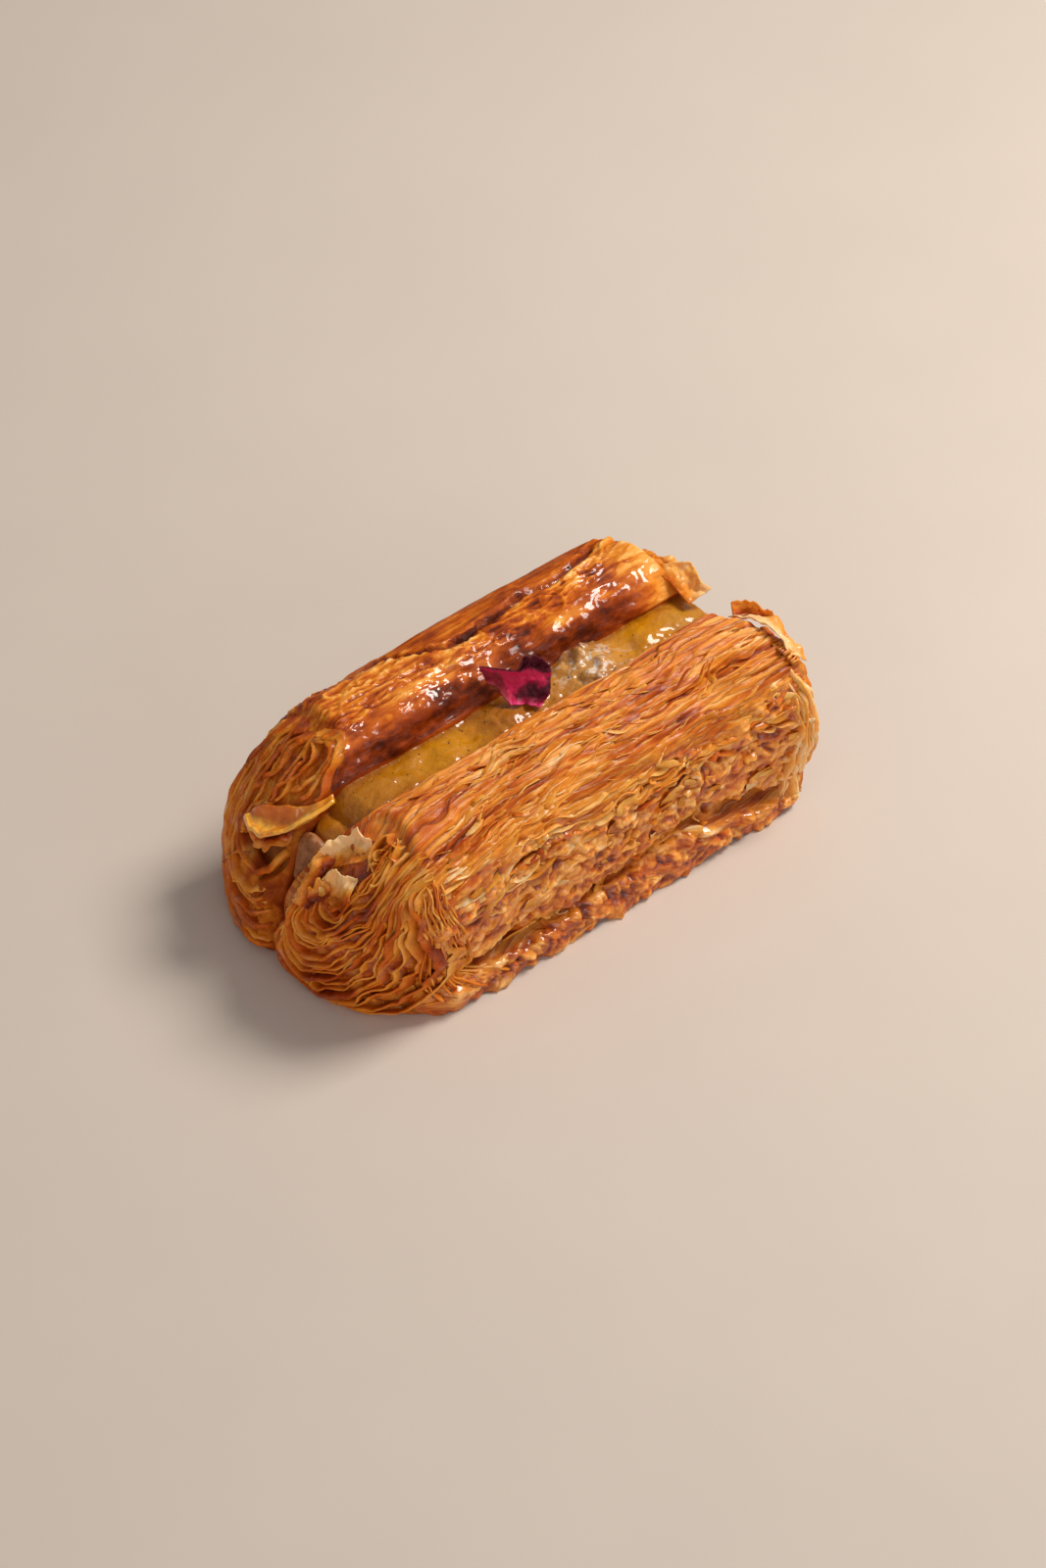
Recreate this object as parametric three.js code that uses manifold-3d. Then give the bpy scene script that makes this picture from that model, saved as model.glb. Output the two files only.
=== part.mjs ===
// A croissant eclair: two laminated rolls baked side by side into one loaf, with a deep seam
// between them that is filled with vanilla cream and fruit gel, and a dried rose petal on top.
// Millimetres. +X runs along the loaf, +Y across it and +Z up. The origin is on the flat base,
// under the middle of the loaf. The near end is at -X and the front roll is at -Y.
import * as THREE from "three";
import { mergeVertices } from "three/addons/utils/BufferGeometryUtils.js";
import Module from "manifold-3d";

const wasm = await Module();
wasm.setup();

// Driving sizes of the loaf
const HALF_WIDTH = 35; // from the middle to the lip of either side
const FRONT_TOP = 46.8; // height of the front roll
const BACK_TOP = 48.6; // height of the back roll, which is the taller one
const FRONT_NEAR = 65.5; // how far each roll reaches at the near end
const BACK_NEAR = 65.8;
const FRONT_FAR = 66.6; // and at the far end
const BACK_FAR = 63;
const LIP_HEIGHT = 9; // the foot along both long sides, under a groove
const GROOVE_DEPTH = 2.4;
const RIM_ROUND = 2.6; // rounding where a side turns into an end

// Sizes of the fillings
const FILL_GAP = 0.45; // clearance between a filling and the dough
const GEL_TOP = 41.4;
const GEL_FLOOR = 29.6;
const GEL_NEAR = -51;
const GEL_FAR = 60;
const CREAM_TOP = 29;
const CREAM_FLOOR = 16;
const CREAM_NEAR = -56.5;
const CREAM_FAR = 59.5;
const CREAM_HEAP = 35.4; // the cream swells up at the near end, in front of the gel

// Fineness of the meshes
const OUTER_POINTS = 32;
const WALL_POINTS = 9;
const BASE_POINTS = 5;
const STATIONS = 33;
const RINGS = [0.95, 0.885, 0.81, 0.725, 0.63, 0.525, 0.405, 0.265, 0.12];

const lerp = THREE.MathUtils.lerp;
const smoothstep = THREE.MathUtils.smoothstep;

// A number from 0 to 1 that is always the same for the same two numbers
function chance(i, j) {
  const s = Math.sin(i * 127.1 + j * 311.7) * 43758.5453;
  return s - Math.floor(s);
}

// A slow wander along a line, from about -1 to 1
function wander(t, phase) {
  return (
    0.5 * Math.sin(t / 9.3 + phase) +
    0.3 * Math.sin(t / 4.7 + 2.1 * phase) +
    0.2 * Math.sin(t / 21 + 0.7 * phase)
  );
}

// 0 up to "from", then a power curve that reaches 1 after "span"
const rise = (v, from, span, power) => Math.max(0, (v - from) / span) ** power;

// A corner rounded as part of an ellipse: 0 up to "from", and "depth" where v has gone "span" on
const corner = (v, from, span, depth) =>
  depth * (1 - Math.sqrt(1 - Math.min(1, Math.max(0, (v - from) / span)) ** 2));

// Where the surface of each roll's end lies along X, over the place in its section
const frontNear = (y, z) =>
  -FRONT_NEAR +
  Math.cbrt(corner(-y, 6, 30, 26) ** 3 + (20 * rise(z, 16, 30, 2.2)) ** 3) +
  2 * rise(-z, -6, 6, 2) +
  3.5 * rise(y, -1, 6, 2);
const backNear = (y, z) =>
  -BACK_NEAR +
  11 * rise(y, 10, 25, 1.8) +
  26.5 * rise(z, 8, 40, 2.2) +
  3.5 * rise(-y, -9, 5, 2);
const frontFar = (y, z) =>
  FRONT_FAR -
  3 * rise(z, 37, 9, 2) -
  6 * rise(y, -18, 9, 1.2) * rise(z, 30, 15, 1) -
  4 * rise(-z, -14, 14, 1.5) -
  2 * rise(y, -8, 12, 2);
const backFar = (y, z) =>
  BACK_FAR - 8 * rise(y, 12, 20, 2) - 4 * rise(z, 34, 13, 2) - 3 * rise(-z, -12, 12, 1.5);

// The groove above the foot wanders up and down, and dips towards the far end
const grooveHeight = (x) =>
  LIP_HEIGHT +
  0.9 * wander(x, 1.3) +
  4.5 * Math.exp(-(((x - 25) / 12) ** 2)) -
  4 * smoothstep(x, 40, 60);
const grooveDepth = (x) => GROOVE_DEPTH * (1 - smoothstep(Math.abs(x), 44, 58));

// The outside of each roll from the base up to the edge of the seam, as control points in the
// section, each [y, z]. The top of the front roll flares out over its side at the far end.
function frontOuter(x) {
  const g = grooveHeight(x);
  const d = grooveDepth(x);
  const h = HALF_WIDTH;
  const flare = 2.2 * smoothstep(x, 44, 60);
  const top = FRONT_TOP + 0.35 * wander(x, 2.2);
  return [
    [-h + 3, 0],
    [-h - 0.4, 0.9],
    [-h - 0.8, 3.4],
    [-h + 0.2, g - 2.6],
    [-h + 0.8 + d, g],
    [-h + 1.2 + 0.2 * d, g + 3.4],
    [-h + 0.7 - flare, 22],
    [-h + 1.3 - flare, 33],
    [-h + 3.6, 39.6],
    [-h + 8.5, top - 3],
    [-h + 15, top - 0.5],
    [-13, top],
    [-8.7, top - 1.7],
  ];
}

function backOuter(x) {
  const g = grooveHeight(9 - x);
  const d = grooveDepth(x);
  const h = HALF_WIDTH;
  const top = BACK_TOP + 0.3 * wander(x, 4.1);
  return [
    [h - 3, 0],
    [h + 0.4, 1],
    [h + 0.6, 3.6],
    [h - 0.3, g - 2.6],
    [h - 0.8 - d, g],
    [h - 1.1 - 0.2 * d, g + 3.4],
    [h - 0.4, 22],
    [h - 0.6, 32],
    [h - 1.8, 39.5],
    [h - 5.4, top - 3.4],
    [h - 11.5, top - 0.6],
    [15.6, top],
    [9, top - 2.4],
    [5.3, GEL_TOP + 0.2],
  ];
}

// The walls of the seam, from its edge down past where the two rolls meet
const wallFront = (z) => lerp(5.5, -8.6, Math.min(1, z / 45) ** 1.9);
const wallBack = (z) => lerp(4.2, 5.3, Math.min(1, z / 41.6));

// Ridges and dents of the crust: how far they stand out and how far they wander
const LAYER_EDGES = { depth: 0.55, wave: 0.3 };
const BUBBLES = { depth: 0.35, wave: 0.35 };
const SKIN = { depth: 0.12, wave: 0.25 };
function crust(kind, index, x) {
  const ridge = chance(index, 5) - 0.5 + (index % 2 ? 0.35 : -0.35);
  return kind.depth * ridge + kind.wave * wander(3 * x + 11 * index, index * 1.7);
}
const frontKind = (share) => (share > 0.6 ? LAYER_EDGES : BUBBLES);
const backKind = (share) => (share > 0.56 ? SKIN : BUBBLES);

const ROLLS = {
  front: {
    outer: frontOuter,
    edgeHeight: (x) => frontOuter(x)[12][1],
    wall: wallFront,
    near: frontNear,
    far: frontFar,
    kind: frontKind,
    heart: [-16, 32.5],
    turn: 1,
  },
  back: {
    outer: backOuter,
    edgeHeight: () => GEL_TOP + 0.2,
    wall: wallBack,
    near: backNear,
    far: backFar,
    kind: backKind,
    heart: [14, 29],
    turn: -1,
  },
};

// One section of a roll as a closed loop: base corner, side, top, and down the wall of the seam
function section(roll, x) {
  const control = roll.outer(x).map(([y, z]) => new THREE.Vector3(0, y, z));
  const curve = new THREE.CatmullRomCurve3(control, false, "centripetal");
  const loop = [];
  for (let i = 0; i <= OUTER_POINTS; i++) {
    const share = i / OUTER_POINTS;
    const p = curve.getPointAt(share);
    const t = curve.getTangentAt(share);
    const fade = Math.min(smoothstep(share, 0.04, 0.1), smoothstep(1 - share, 0, 0.06));
    const out = fade * crust(roll.kind(share), i, x);
    loop.push([p.y - roll.turn * t.z * out, p.z + roll.turn * t.y * out]);
  }
  const top = roll.edgeHeight(x);
  for (let i = 1; i <= WALL_POINTS; i++) {
    const z = top * (1 - i / WALL_POINTS);
    loop.push([roll.wall(z), z]);
  }
  for (let i = 1; i < BASE_POINTS; i++) {
    loop.push([lerp(roll.wall(0), control[0].y, i / BASE_POINTS), 0]);
  }
  return loop;
}

// A closed surface over loops of equal length, shut on a point at either end
function skinned(loops, startPoint, endPoint, flip) {
  const n = loops[0].length;
  const position = [...loops.flat(), startPoint, endPoint].flat();
  const start = loops.length * n;
  const faces = [];
  const add = (a, b, c) => faces.push(...(flip ? [a, c, b] : [a, b, c]));
  for (let j = 0; j < n; j++) {
    const k = (j + 1) % n;
    add(start, j, k);
    add(start + 1, (loops.length - 1) * n + k, (loops.length - 1) * n + j);
    for (let i = 0; i + 1 < loops.length; i++) {
      const a = i * n;
      const b = a + n;
      add(a + j, b + j, a + k);
      add(a + k, b + j, b + k);
    }
  }
  return solid(position, faces);
}

function solid(position, index) {
  const geometry = new THREE.BufferGeometry();
  geometry.setAttribute("position", new THREE.BufferAttribute(new Float32Array(position), 3));
  geometry.setIndex(index);
  const merged = mergeVertices(geometry, 1e-4);
  const made = new wasm.Manifold(
    new wasm.Mesh({
      numProp: 3,
      vertProperties: merged.attributes.position.array,
      triVerts: new Uint32Array(merged.index.array),
    }),
  );
  if (made.volume() <= 0) throw new Error("a surface is inside out");
  return made;
}

// A roll: loops along its length, and at each end rings that shrink to its heart. The rings
// follow the layers of the dough, which lie round the heart, and each stands out or in a little.
function rollSolid(roll, seed) {
  const [cy, cz] = roll.heart;
  const reach = 58;
  const loops = [];
  const rimDepth = (s) => RIM_ROUND * (1 - Math.sqrt(1 - s ** 8));
  const ring = (loop, end, sign, s, k) =>
    loop.map(([y, z], j) => {
      const py = cy + s * (y - cy);
      const pz = Math.max(0, cz + s * (z - cz));
      const step = 0.9 * (chance(k, seed) - 0.5) + (k % 2 ? 0.45 : -0.45);
      const relief = step + 0.35 * wander(4 * j, k + seed);
      return [end(py, pz) + sign * (relief - rimDepth(s)), py, pz];
    });
  const nearLoop = section(roll, -reach);
  const farLoop = section(roll, reach);
  [...RINGS].reverse().forEach((s, k) => loops.push(ring(nearLoop, roll.near, -1, s, k)));
  for (let i = 0; i < STATIONS; i++) {
    const t = i / (STATIONS - 1);
    const loop = section(roll, lerp(-reach, reach, t));
    loops.push(
      loop.map(([y, z]) => [
        lerp(roll.near(y, z) + RIM_ROUND, roll.far(y, z) - RIM_ROUND, t),
        y,
        z,
      ]),
    );
  }
  RINGS.forEach((s, k) => loops.push(ring(farLoop, roll.far, 1, s, k)));
  return skinned(loops, [roll.near(cy, cz), cy, cz], [roll.far(cy, cz), cy, cz], roll.turn < 0);
}

// A thin closed sheet over a grid of points, half its thickness to each side along "up"
function sheetSolid(columns, rows, at, thickness) {
  const position = [];
  const faces = [];
  const middle = (i, j) => new THREE.Vector3(...at(i / columns, j / rows));
  const step = (i, j, di, dj) =>
    middle(Math.min(i + di, columns), Math.min(j + dj, rows)).sub(
      middle(Math.max(i - di, 0), Math.max(j - dj, 0)),
    );
  for (const side of [1, -1])
    for (let i = 0; i <= columns; i++)
      for (let j = 0; j <= rows; j++) {
        const normal = step(i, j, 1, 0).cross(step(i, j, 0, 1)).normalize();
        position.push(...middle(i, j).addScaledVector(normal, (side * thickness) / 2).toArray());
      }
  const half = (columns + 1) * (rows + 1);
  const id = (i, j, layer) => layer * half + i * (rows + 1) + j;
  for (let i = 0; i < columns; i++)
    for (let j = 0; j < rows; j++) {
      const [a, b, c, d] = [id(i, j, 0), id(i + 1, j, 0), id(i + 1, j + 1, 0), id(i, j + 1, 0)];
      faces.push(a, b, c, a, c, d);
      faces.push(a + half, c + half, b + half, a + half, d + half, c + half);
    }
  const wall = (a, b) => faces.push(a, a + half, b, b, a + half, b + half);
  for (let i = 0; i < columns; i++) {
    wall(id(i, 0, 0), id(i + 1, 0, 0));
    wall(id(i + 1, rows, 0), id(i, rows, 0));
  }
  for (let j = 0; j < rows; j++) {
    wall(id(columns, j, 0), id(columns, j + 1, 0));
    wall(id(0, j + 1, 0), id(0, j, 0));
  }
  return solid(position, faces);
}

// Large flakes that stand clear of the crust, each rooted well inside it. "root" and "tip" are
// the middles of its two ends, "across" is its width and "taper" the share lost at the tip.
function flake({ root, tip, across, curl, taper, thick }) {
  const from = new THREE.Vector3(...root);
  const to = new THREE.Vector3(...tip);
  const wide = new THREE.Vector3(...across);
  const up = to.clone().sub(from).cross(wide).normalize();
  return sheetSolid(
    5,
    5,
    (u, v) => {
      const narrow = 1 - taper * u * u;
      const p = from.clone().lerp(to, u).addScaledVector(wide, (v - 0.5) * narrow);
      p.addScaledVector(up, curl * u * u + 0.5 * Math.sin(5 * v + 3 * u));
      return p.toArray();
    },
    thick,
  );
}

const FLAKES = [
  // The glazed ledge across the near end of the back roll
  {
    root: [-47, 13.6, 36],
    tip: [-58.6, 12, 32.4],
    across: [6.6, -12.4, 6],
    curl: -1.6,
    taper: 0,
    thick: 1.8,
  },
  // Two leaves at the far end of the back roll, which lean over the filling
  {
    root: [48, 12, 43.4],
    tip: [61, 2.4, 45.2],
    across: [5, 6, 0.6],
    curl: 0.6,
    taper: 0.45,
    thick: 1,
  },
  {
    root: [50, 9, 43],
    tip: [63.2, -4.6, 42.8],
    across: [6, 6, 0.6],
    curl: 0.5,
    taper: 0.45,
    thick: 1,
  },
  // The dark leaf at the far corner of the front roll
  {
    root: [54, -16, 44.4],
    tip: [65.2, -15.4, 45.6],
    across: [-4, 12, -1.6],
    curl: 0.4,
    taper: 0.45,
    thick: 1,
  },
  // A torn leaf of the front roll that stands beside the seam at the near end
  {
    root: [-45, -14, 37],
    tip: [-55.4, -9.4, 38.6],
    across: [4, -4, 7],
    curl: 0.8,
    taper: 0.4,
    thick: 1.2,
  },
];

function croissantSolid() {
  let body = rollSolid(ROLLS.front, 3).add(rollSolid(ROLLS.back, 8));
  for (const f of FLAKES) {
    body = body.add(flake(f));
  }
  return body;
}

// A filling: loops between the walls of the seam, closed at both ends on a rounded nose
function fillingSolid({ near, far, floor, top, stations, across, crown }) {
  const loops = [];
  const nose = [0.35, 0.75, 1];
  const lengths = [];
  for (let i = 0; i <= stations; i++) lengths.push(lerp(near, far, i / stations));
  const shapeAt = (x) => {
    const z1 = top(x);
    const walls = [0, 0.25, 0.5, 0.75, 1].map((share) => lerp(floor, z1, share));
    const front = walls.map((z) => [wallFront(z) + FILL_GAP, z]);
    const back = walls.map((z) => [wallBack(z) - FILL_GAP, z]);
    const [y0, y1] = [front[4][0], back[4][0]];
    const surface = [];
    for (let k = 1; k < across; k++) {
      const u = k / across;
      const lift = crown * Math.sin(Math.PI * u) * (1 + 0.6 * wander(2 * x + 9 * k, 2.9));
      surface.push([lerp(y0, y1, u), z1 + lift]);
    }
    return [...front, ...surface, ...back.reverse()];
  };
  const shrunk = (x, s) => {
    const loop = shapeAt(x);
    const cy = (loop[2][0] + loop[loop.length - 3][0]) / 2;
    const cz = (floor + top(x)) / 2;
    return loop.map(([y, z]) => [x, cy + s * (y - cy), cz + s * (z - cz)]);
  };
  const bulge = (s) => 1.6 * Math.sqrt(1 - s * s);
  const cap = (x, sign) =>
    nose.slice(0, 2).map((s) => shrunk(x, s).map(([, y, z]) => [x + sign * bulge(s), y, z]));
  loops.push(...cap(near, -1));
  for (const x of lengths) loops.push(shrunk(x, 1));
  loops.push(...cap(far, 1).reverse());
  const tip = (x, sign) => {
    const z = (floor + top(x)) / 2;
    return [x + sign * bulge(0), (wallFront(z) + wallBack(z)) / 2, z];
  };
  return skinned(loops, tip(near, -1), tip(far, 1), false);
}

const gelTop = (x) =>
  GEL_TOP -
  1 +
  0.5 * wander(1.4 * x, 0.4) -
  3 * smoothstep(-x, 42, 52) +
  1.6 * Math.exp(-(((x - 27) / 6) ** 2));
const creamTop = (x) => lerp(CREAM_HEAP, CREAM_TOP, smoothstep(x, -54.4, -53.6));

function gelSolid() {
  return fillingSolid({
    near: GEL_NEAR,
    far: GEL_FAR,
    floor: GEL_FLOOR,
    top: gelTop,
    stations: 34,
    across: 7,
    crown: 0.7,
  });
}

function creamSolid() {
  return fillingSolid({
    near: CREAM_NEAR,
    far: CREAM_FAR,
    floor: CREAM_FLOOR,
    top: creamTop,
    stations: 26,
    across: 5,
    crown: 0.2,
  });
}

// A dried rose petal: a narrow claw on the lip of the back roll widens to a blade, which drops
// from a fold onto the filling as a bowl. Behind the fold its far half curls up.
const PETAL = {
  claw: [1.7, 9.4, 48.6],
  end: [13.4, -2.4, 47.2],
  drop: [-3.6, -4.1, -5.9],
  curl: [1.2, 2.6, 4],
  bowl: 1.5,
  thickness: 0.5,
};
function petalSolid() {
  const claw = new THREE.Vector3(...PETAL.claw);
  const end = new THREE.Vector3(...PETAL.end);
  const drop = new THREE.Vector3(...PETAL.drop);
  const curl = new THREE.Vector3(...PETAL.curl);
  const face = end.clone().sub(claw).cross(drop).normalize();
  return sheetSolid(
    16,
    12,
    (u, v) => {
      const blade = lerp(0.1, 1, smoothstep(u, 0.22, 0.5)) * (1 - 0.14 * smoothstep(u, 0.85, 1));
      const behind = lerp(0.05, 1, smoothstep(u, 0.5, 0.7)) * (1 - 0.35 * smoothstep(u, 0.85, 1));
      const down = Math.max(0, (v - 0.4) / 0.6);
      const back = Math.max(0, (0.4 - v) / 0.4);
      const p = claw.clone().lerp(end, u);
      p.addScaledVector(drop, blade * down);
      p.addScaledVector(curl, behind * back);
      const along = Math.sin(Math.PI * Math.min(1, u + 0.1));
      const bowl = PETAL.bowl * blade * Math.sin(Math.PI * down) * along;
      const ruffle = 0.35 * Math.sin(16 * u) * smoothstep(down, 0.6, 1) * smoothstep(u, 0.4, 0.6);
      const sag = 0.5 * Math.sin(Math.PI * u);
      return p.addScaledVector(face, bowl + ruffle - sag).toArray();
    },
    PETAL.thickness,
  );
}

function meshOf(name, made, colour, roughness) {
  const { numProp, numVert, vertProperties, triVerts } = made.getMesh();
  const position = new Float32Array(numVert * 3);
  for (let i = 0; i < numVert; i++) {
    position.set(vertProperties.subarray(i * numProp, i * numProp + 3), i * 3);
  }
  const geometry = new THREE.BufferGeometry();
  geometry.setAttribute("position", new THREE.BufferAttribute(position, 3));
  geometry.setIndex([...triVerts]);
  geometry.computeVertexNormals();
  const material = new THREE.MeshStandardMaterial({ color: colour, roughness, metalness: 0 });
  const mesh = new THREE.Mesh(geometry, material);
  mesh.name = name;
  return mesh;
}

const eclair = new THREE.Group();
eclair.add(
  meshOf("croissant", croissantSolid(), 0xb8651c, 0.55),
  meshOf("fruit_gel", gelSolid(), 0xb98a1e, 0.15),
  meshOf("vanilla_cream", creamSolid(), 0xa58a72, 0.5),
  meshOf("rose_petal", petalSolid(), 0x8f1233, 0.7),
);

export default eclair;
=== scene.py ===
"""Croissant eclair: two laminated rolls with a deep seam of vanilla cream and fruit gel, and a
dried rose petal. Sizes in the pieces are millimetres until a mesh is made, in metres."""

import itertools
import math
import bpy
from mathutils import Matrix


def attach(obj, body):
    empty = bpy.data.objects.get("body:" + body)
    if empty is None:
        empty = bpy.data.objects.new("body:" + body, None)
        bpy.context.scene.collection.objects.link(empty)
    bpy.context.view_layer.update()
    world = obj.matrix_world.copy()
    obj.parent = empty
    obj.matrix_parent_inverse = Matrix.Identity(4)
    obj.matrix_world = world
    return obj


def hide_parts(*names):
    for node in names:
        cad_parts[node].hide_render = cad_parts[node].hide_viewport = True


bl_info = {
    "name": "Croissant Eclair",
    "version": (1, 0, 0),
    "blender": (4, 5, 0),
    "location": "View3D > Sidebar > Eclair",
    "description": "Builds a filled laminated croissant loaf around its packed solids",
    "category": "Add Mesh",
}

import bpy
import numpy as np
from mathutils import Matrix

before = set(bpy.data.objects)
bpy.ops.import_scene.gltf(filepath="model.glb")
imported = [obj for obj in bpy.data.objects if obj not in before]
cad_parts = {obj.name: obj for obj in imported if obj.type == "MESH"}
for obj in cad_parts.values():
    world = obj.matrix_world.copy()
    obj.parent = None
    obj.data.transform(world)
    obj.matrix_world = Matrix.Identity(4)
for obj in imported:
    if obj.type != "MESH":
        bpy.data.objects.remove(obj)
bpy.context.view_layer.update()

MM = 0.001
BODY = "root"

# Numbers that the solids share with the dressed pieces
HALF_WIDTH = 35.0
FRONT_TOP = 46.8
BACK_TOP = 48.6
FRONT_NEAR, BACK_NEAR = 65.5, 65.8
FRONT_FAR, BACK_FAR = 66.6, 63.0
LIP_HEIGHT = 9.0
GROOVE_DEPTH = 2.4
RIM_ROUND = 2.6
REACH = 58.0
GEL_TOP = 41.4


def lerp(a, b, t):
    return a + (b - a) * t


def smoothstep(v, low, high):
    t = np.clip((v - low) / (high - low), 0.0, 1.0)
    return t * t * (3.0 - 2.0 * t)


def bell(v, middle, width):
    return np.exp(-(((v - middle) / width) ** 2))


def tapered(t, share):
    """1 along a strip where t goes from 0 to 1, which falls to 0 over a share of it at each end."""
    return np.minimum(smoothstep(t, 0, share), smoothstep(1 - t, 0, share))


def rise(v, start, span, power):
    """0 up to start, and from there a curve that is 1 after one span."""
    return np.maximum(0.0, (v - start) / span) ** power


def rounded_corner(v, start, span, depth):
    """A quarter of an ellipse that falls away by depth over the span."""
    t = np.clip((v - start) / span, 0.0, 1.0)
    return depth * (1.0 - np.sqrt(1.0 - t * t))


def wander(t, phase):
    """A slow wander along a line, from about -1 to 1."""
    return (
        0.5 * np.sin(t / 9.3 + phase)
        + 0.3 * np.sin(t / 4.7 + 2.1 * phase)
        + 0.2 * np.sin(t / 21.0 + 0.7 * phase)
    )


# Seeded noise over points, so that every run gives the same loaf. These odd factors scramble
# whole numbers, of which the low 32 bits are kept.
MIX_PLACE = (374761393, 668265263, 1442695041)
MIX_SEED, MIX_ONCE, MIX_TWICE = 974634777, 1274126177, -2048144777
LOW_BITS = 0xFFFFFFFF


def corner_value(ix, iy, iz, seed):
    """A number from -1 to 1 that is always the same for the same four whole numbers."""
    kx, ky, kz = MIX_PLACE
    h = (ix * kx + iy * ky + iz * kz + seed * MIX_SEED) & LOW_BITS
    h = ((h ^ (h >> 13)) * MIX_ONCE) & LOW_BITS
    h = ((h ^ (h >> 16)) * MIX_TWICE) & LOW_BITS
    return ((h >> 8) & 0xFFFF) / 32767.5 - 1.0


def noise(p, seed=0):
    """Smooth noise from -1 to 1 at points p of shape (..., 3)."""
    cell = np.floor(p).astype(np.int64)
    f = p - cell
    w = f * f * f * (f * (f * 6.0 - 15.0) + 10.0)
    weights = (1.0 - w, w)
    total = 0.0
    for dx, dy, dz in itertools.product((0, 1), repeat=3):
        value = corner_value(cell[..., 0] + dx, cell[..., 1] + dy, cell[..., 2] + dz, seed)
        weight = weights[dx][..., 0] * weights[dy][..., 1] * weights[dz][..., 2]
        total = total + weight * value
    return total


def cloudy(p, seed=0, octaves=3, gain=0.5):
    """Layered noise, about -1 to 1."""
    total, size, amount = 0.0, 1.0, 0.0
    for k in range(octaves):
        total = total + size * noise(p * (2.03**k) + 7.7 * k, seed + 13 * k)
        amount += size
        size *= gain
    return 1.6 * total / amount


def cells(p, seed=0):
    """Distances to the nearest and next nearest of scattered points, in a plane: p (..., 2)."""
    base = np.floor(p).astype(np.int64)
    near = np.full(p.shape[:-1], 9.0)
    next_near = np.full(p.shape[:-1], 9.0)
    for dx, dy in itertools.product((-1, 0, 1), repeat=2):
        cx, cy = base[..., 0] + dx, base[..., 1] + dy
        px = cx + 0.5 + 0.42 * corner_value(cx, cy, cx * 0 + 3, seed)
        py = cy + 0.5 + 0.42 * corner_value(cx, cy, cx * 0 + 5, seed)
        d = np.hypot(p[..., 0] - px, p[..., 1] - py)
        next_near = np.minimum(next_near, np.maximum(d, near))
        near = np.minimum(near, d)
    return near, next_near


# The loaf's own shape: the same curves that its solids were made from


def front_near(y, z):
    side = rounded_corner(-y, 6, 30, 26)
    top = 20 * rise(z, 16, 30, 2.2)
    turn = np.cbrt(side**3 + top**3)
    return -FRONT_NEAR + turn + 2 * rise(-z, -6, 6, 2) + 3.5 * rise(y, -1, 6, 2)


def back_near(y, z):
    lean = 11 * rise(y, 10, 25, 1.8) + 26.5 * rise(z, 8, 40, 2.2)
    return -BACK_NEAR + lean + 3.5 * rise(-y, -9, 5, 2)


def front_far(y, z):
    slot_side = 6 * rise(y, -18, 9, 1.2) * rise(z, 30, 15, 1)
    top = FRONT_FAR - 3 * rise(z, 37, 9, 2) - slot_side
    return top - 4 * rise(-z, -14, 14, 1.5) - 2 * rise(y, -8, 12, 2)


def back_far(y, z):
    return BACK_FAR - 8 * rise(y, 12, 20, 2) - 4 * rise(z, 34, 13, 2) - 3 * rise(-z, -12, 12, 1.5)


def groove_height(x):
    return LIP_HEIGHT + 0.9 * wander(x, 1.3) + 4.5 * bell(x, 25, 12) - 4 * smoothstep(x, 40, 60)


def groove_depth(x):
    return GROOVE_DEPTH * (1 - smoothstep(np.abs(x), 44, 58))


def wall_front(z):
    return lerp(5.5, -8.6, np.clip(z / 45.0, 0, 1) ** 1.9)


def wall_back(z):
    return lerp(4.2, 5.3, np.clip(z / 41.6, 0, 1))


def control_points(rows, x):
    """Rows of (y, z), numbers or arrays over x, as one array (len(x), rows, 2)."""
    flat = [[np.broadcast_to(v, x.shape) for v in row] for row in rows]
    return np.moveaxis(np.array(flat, float), 2, 0)


def front_outer(x):
    g, d, h = groove_height(x), groove_depth(x), HALF_WIDTH
    flare = 2.2 * smoothstep(x, 44, 60)
    top = FRONT_TOP + 0.35 * wander(x, 2.2)
    rows = [
        (-h + 3, 0),
        (-h - 0.4, 0.9),
        (-h - 0.8, 3.4),
        (-h + 0.2, g - 2.6),
        (-h + 0.8 + d, g),
        (-h + 1.2 + 0.2 * d, g + 3.4),
        (-h + 0.7 - flare, 22),
        (-h + 1.3 - flare, 33),
        (-h + 3.6, 39.6),
        (-h + 8.5, top - 3),
        (-h + 15, top - 0.5),
        (-13, top),
        (-8.7, top - 1.7),
    ]
    return control_points(rows, x)


def back_outer(x):
    g, d, h = groove_height(9 - x), groove_depth(x), HALF_WIDTH
    top = BACK_TOP + 0.3 * wander(x, 4.1)
    rows = [
        (h - 3, 0),
        (h + 0.4, 1),
        (h + 0.6, 3.6),
        (h - 0.3, g - 2.6),
        (h - 0.8 - d, g),
        (h - 1.1 - 0.2 * d, g + 3.4),
        (h - 0.4, 22),
        (h - 0.6, 32),
        (h - 1.8, 39.5),
        (h - 5.4, top - 3.4),
        (h - 11.5, top - 0.6),
        (15.6, top),
        (9, top - 2.4),
        (5.3, GEL_TOP + 0.2),
    ]
    return control_points(rows, x)


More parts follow.
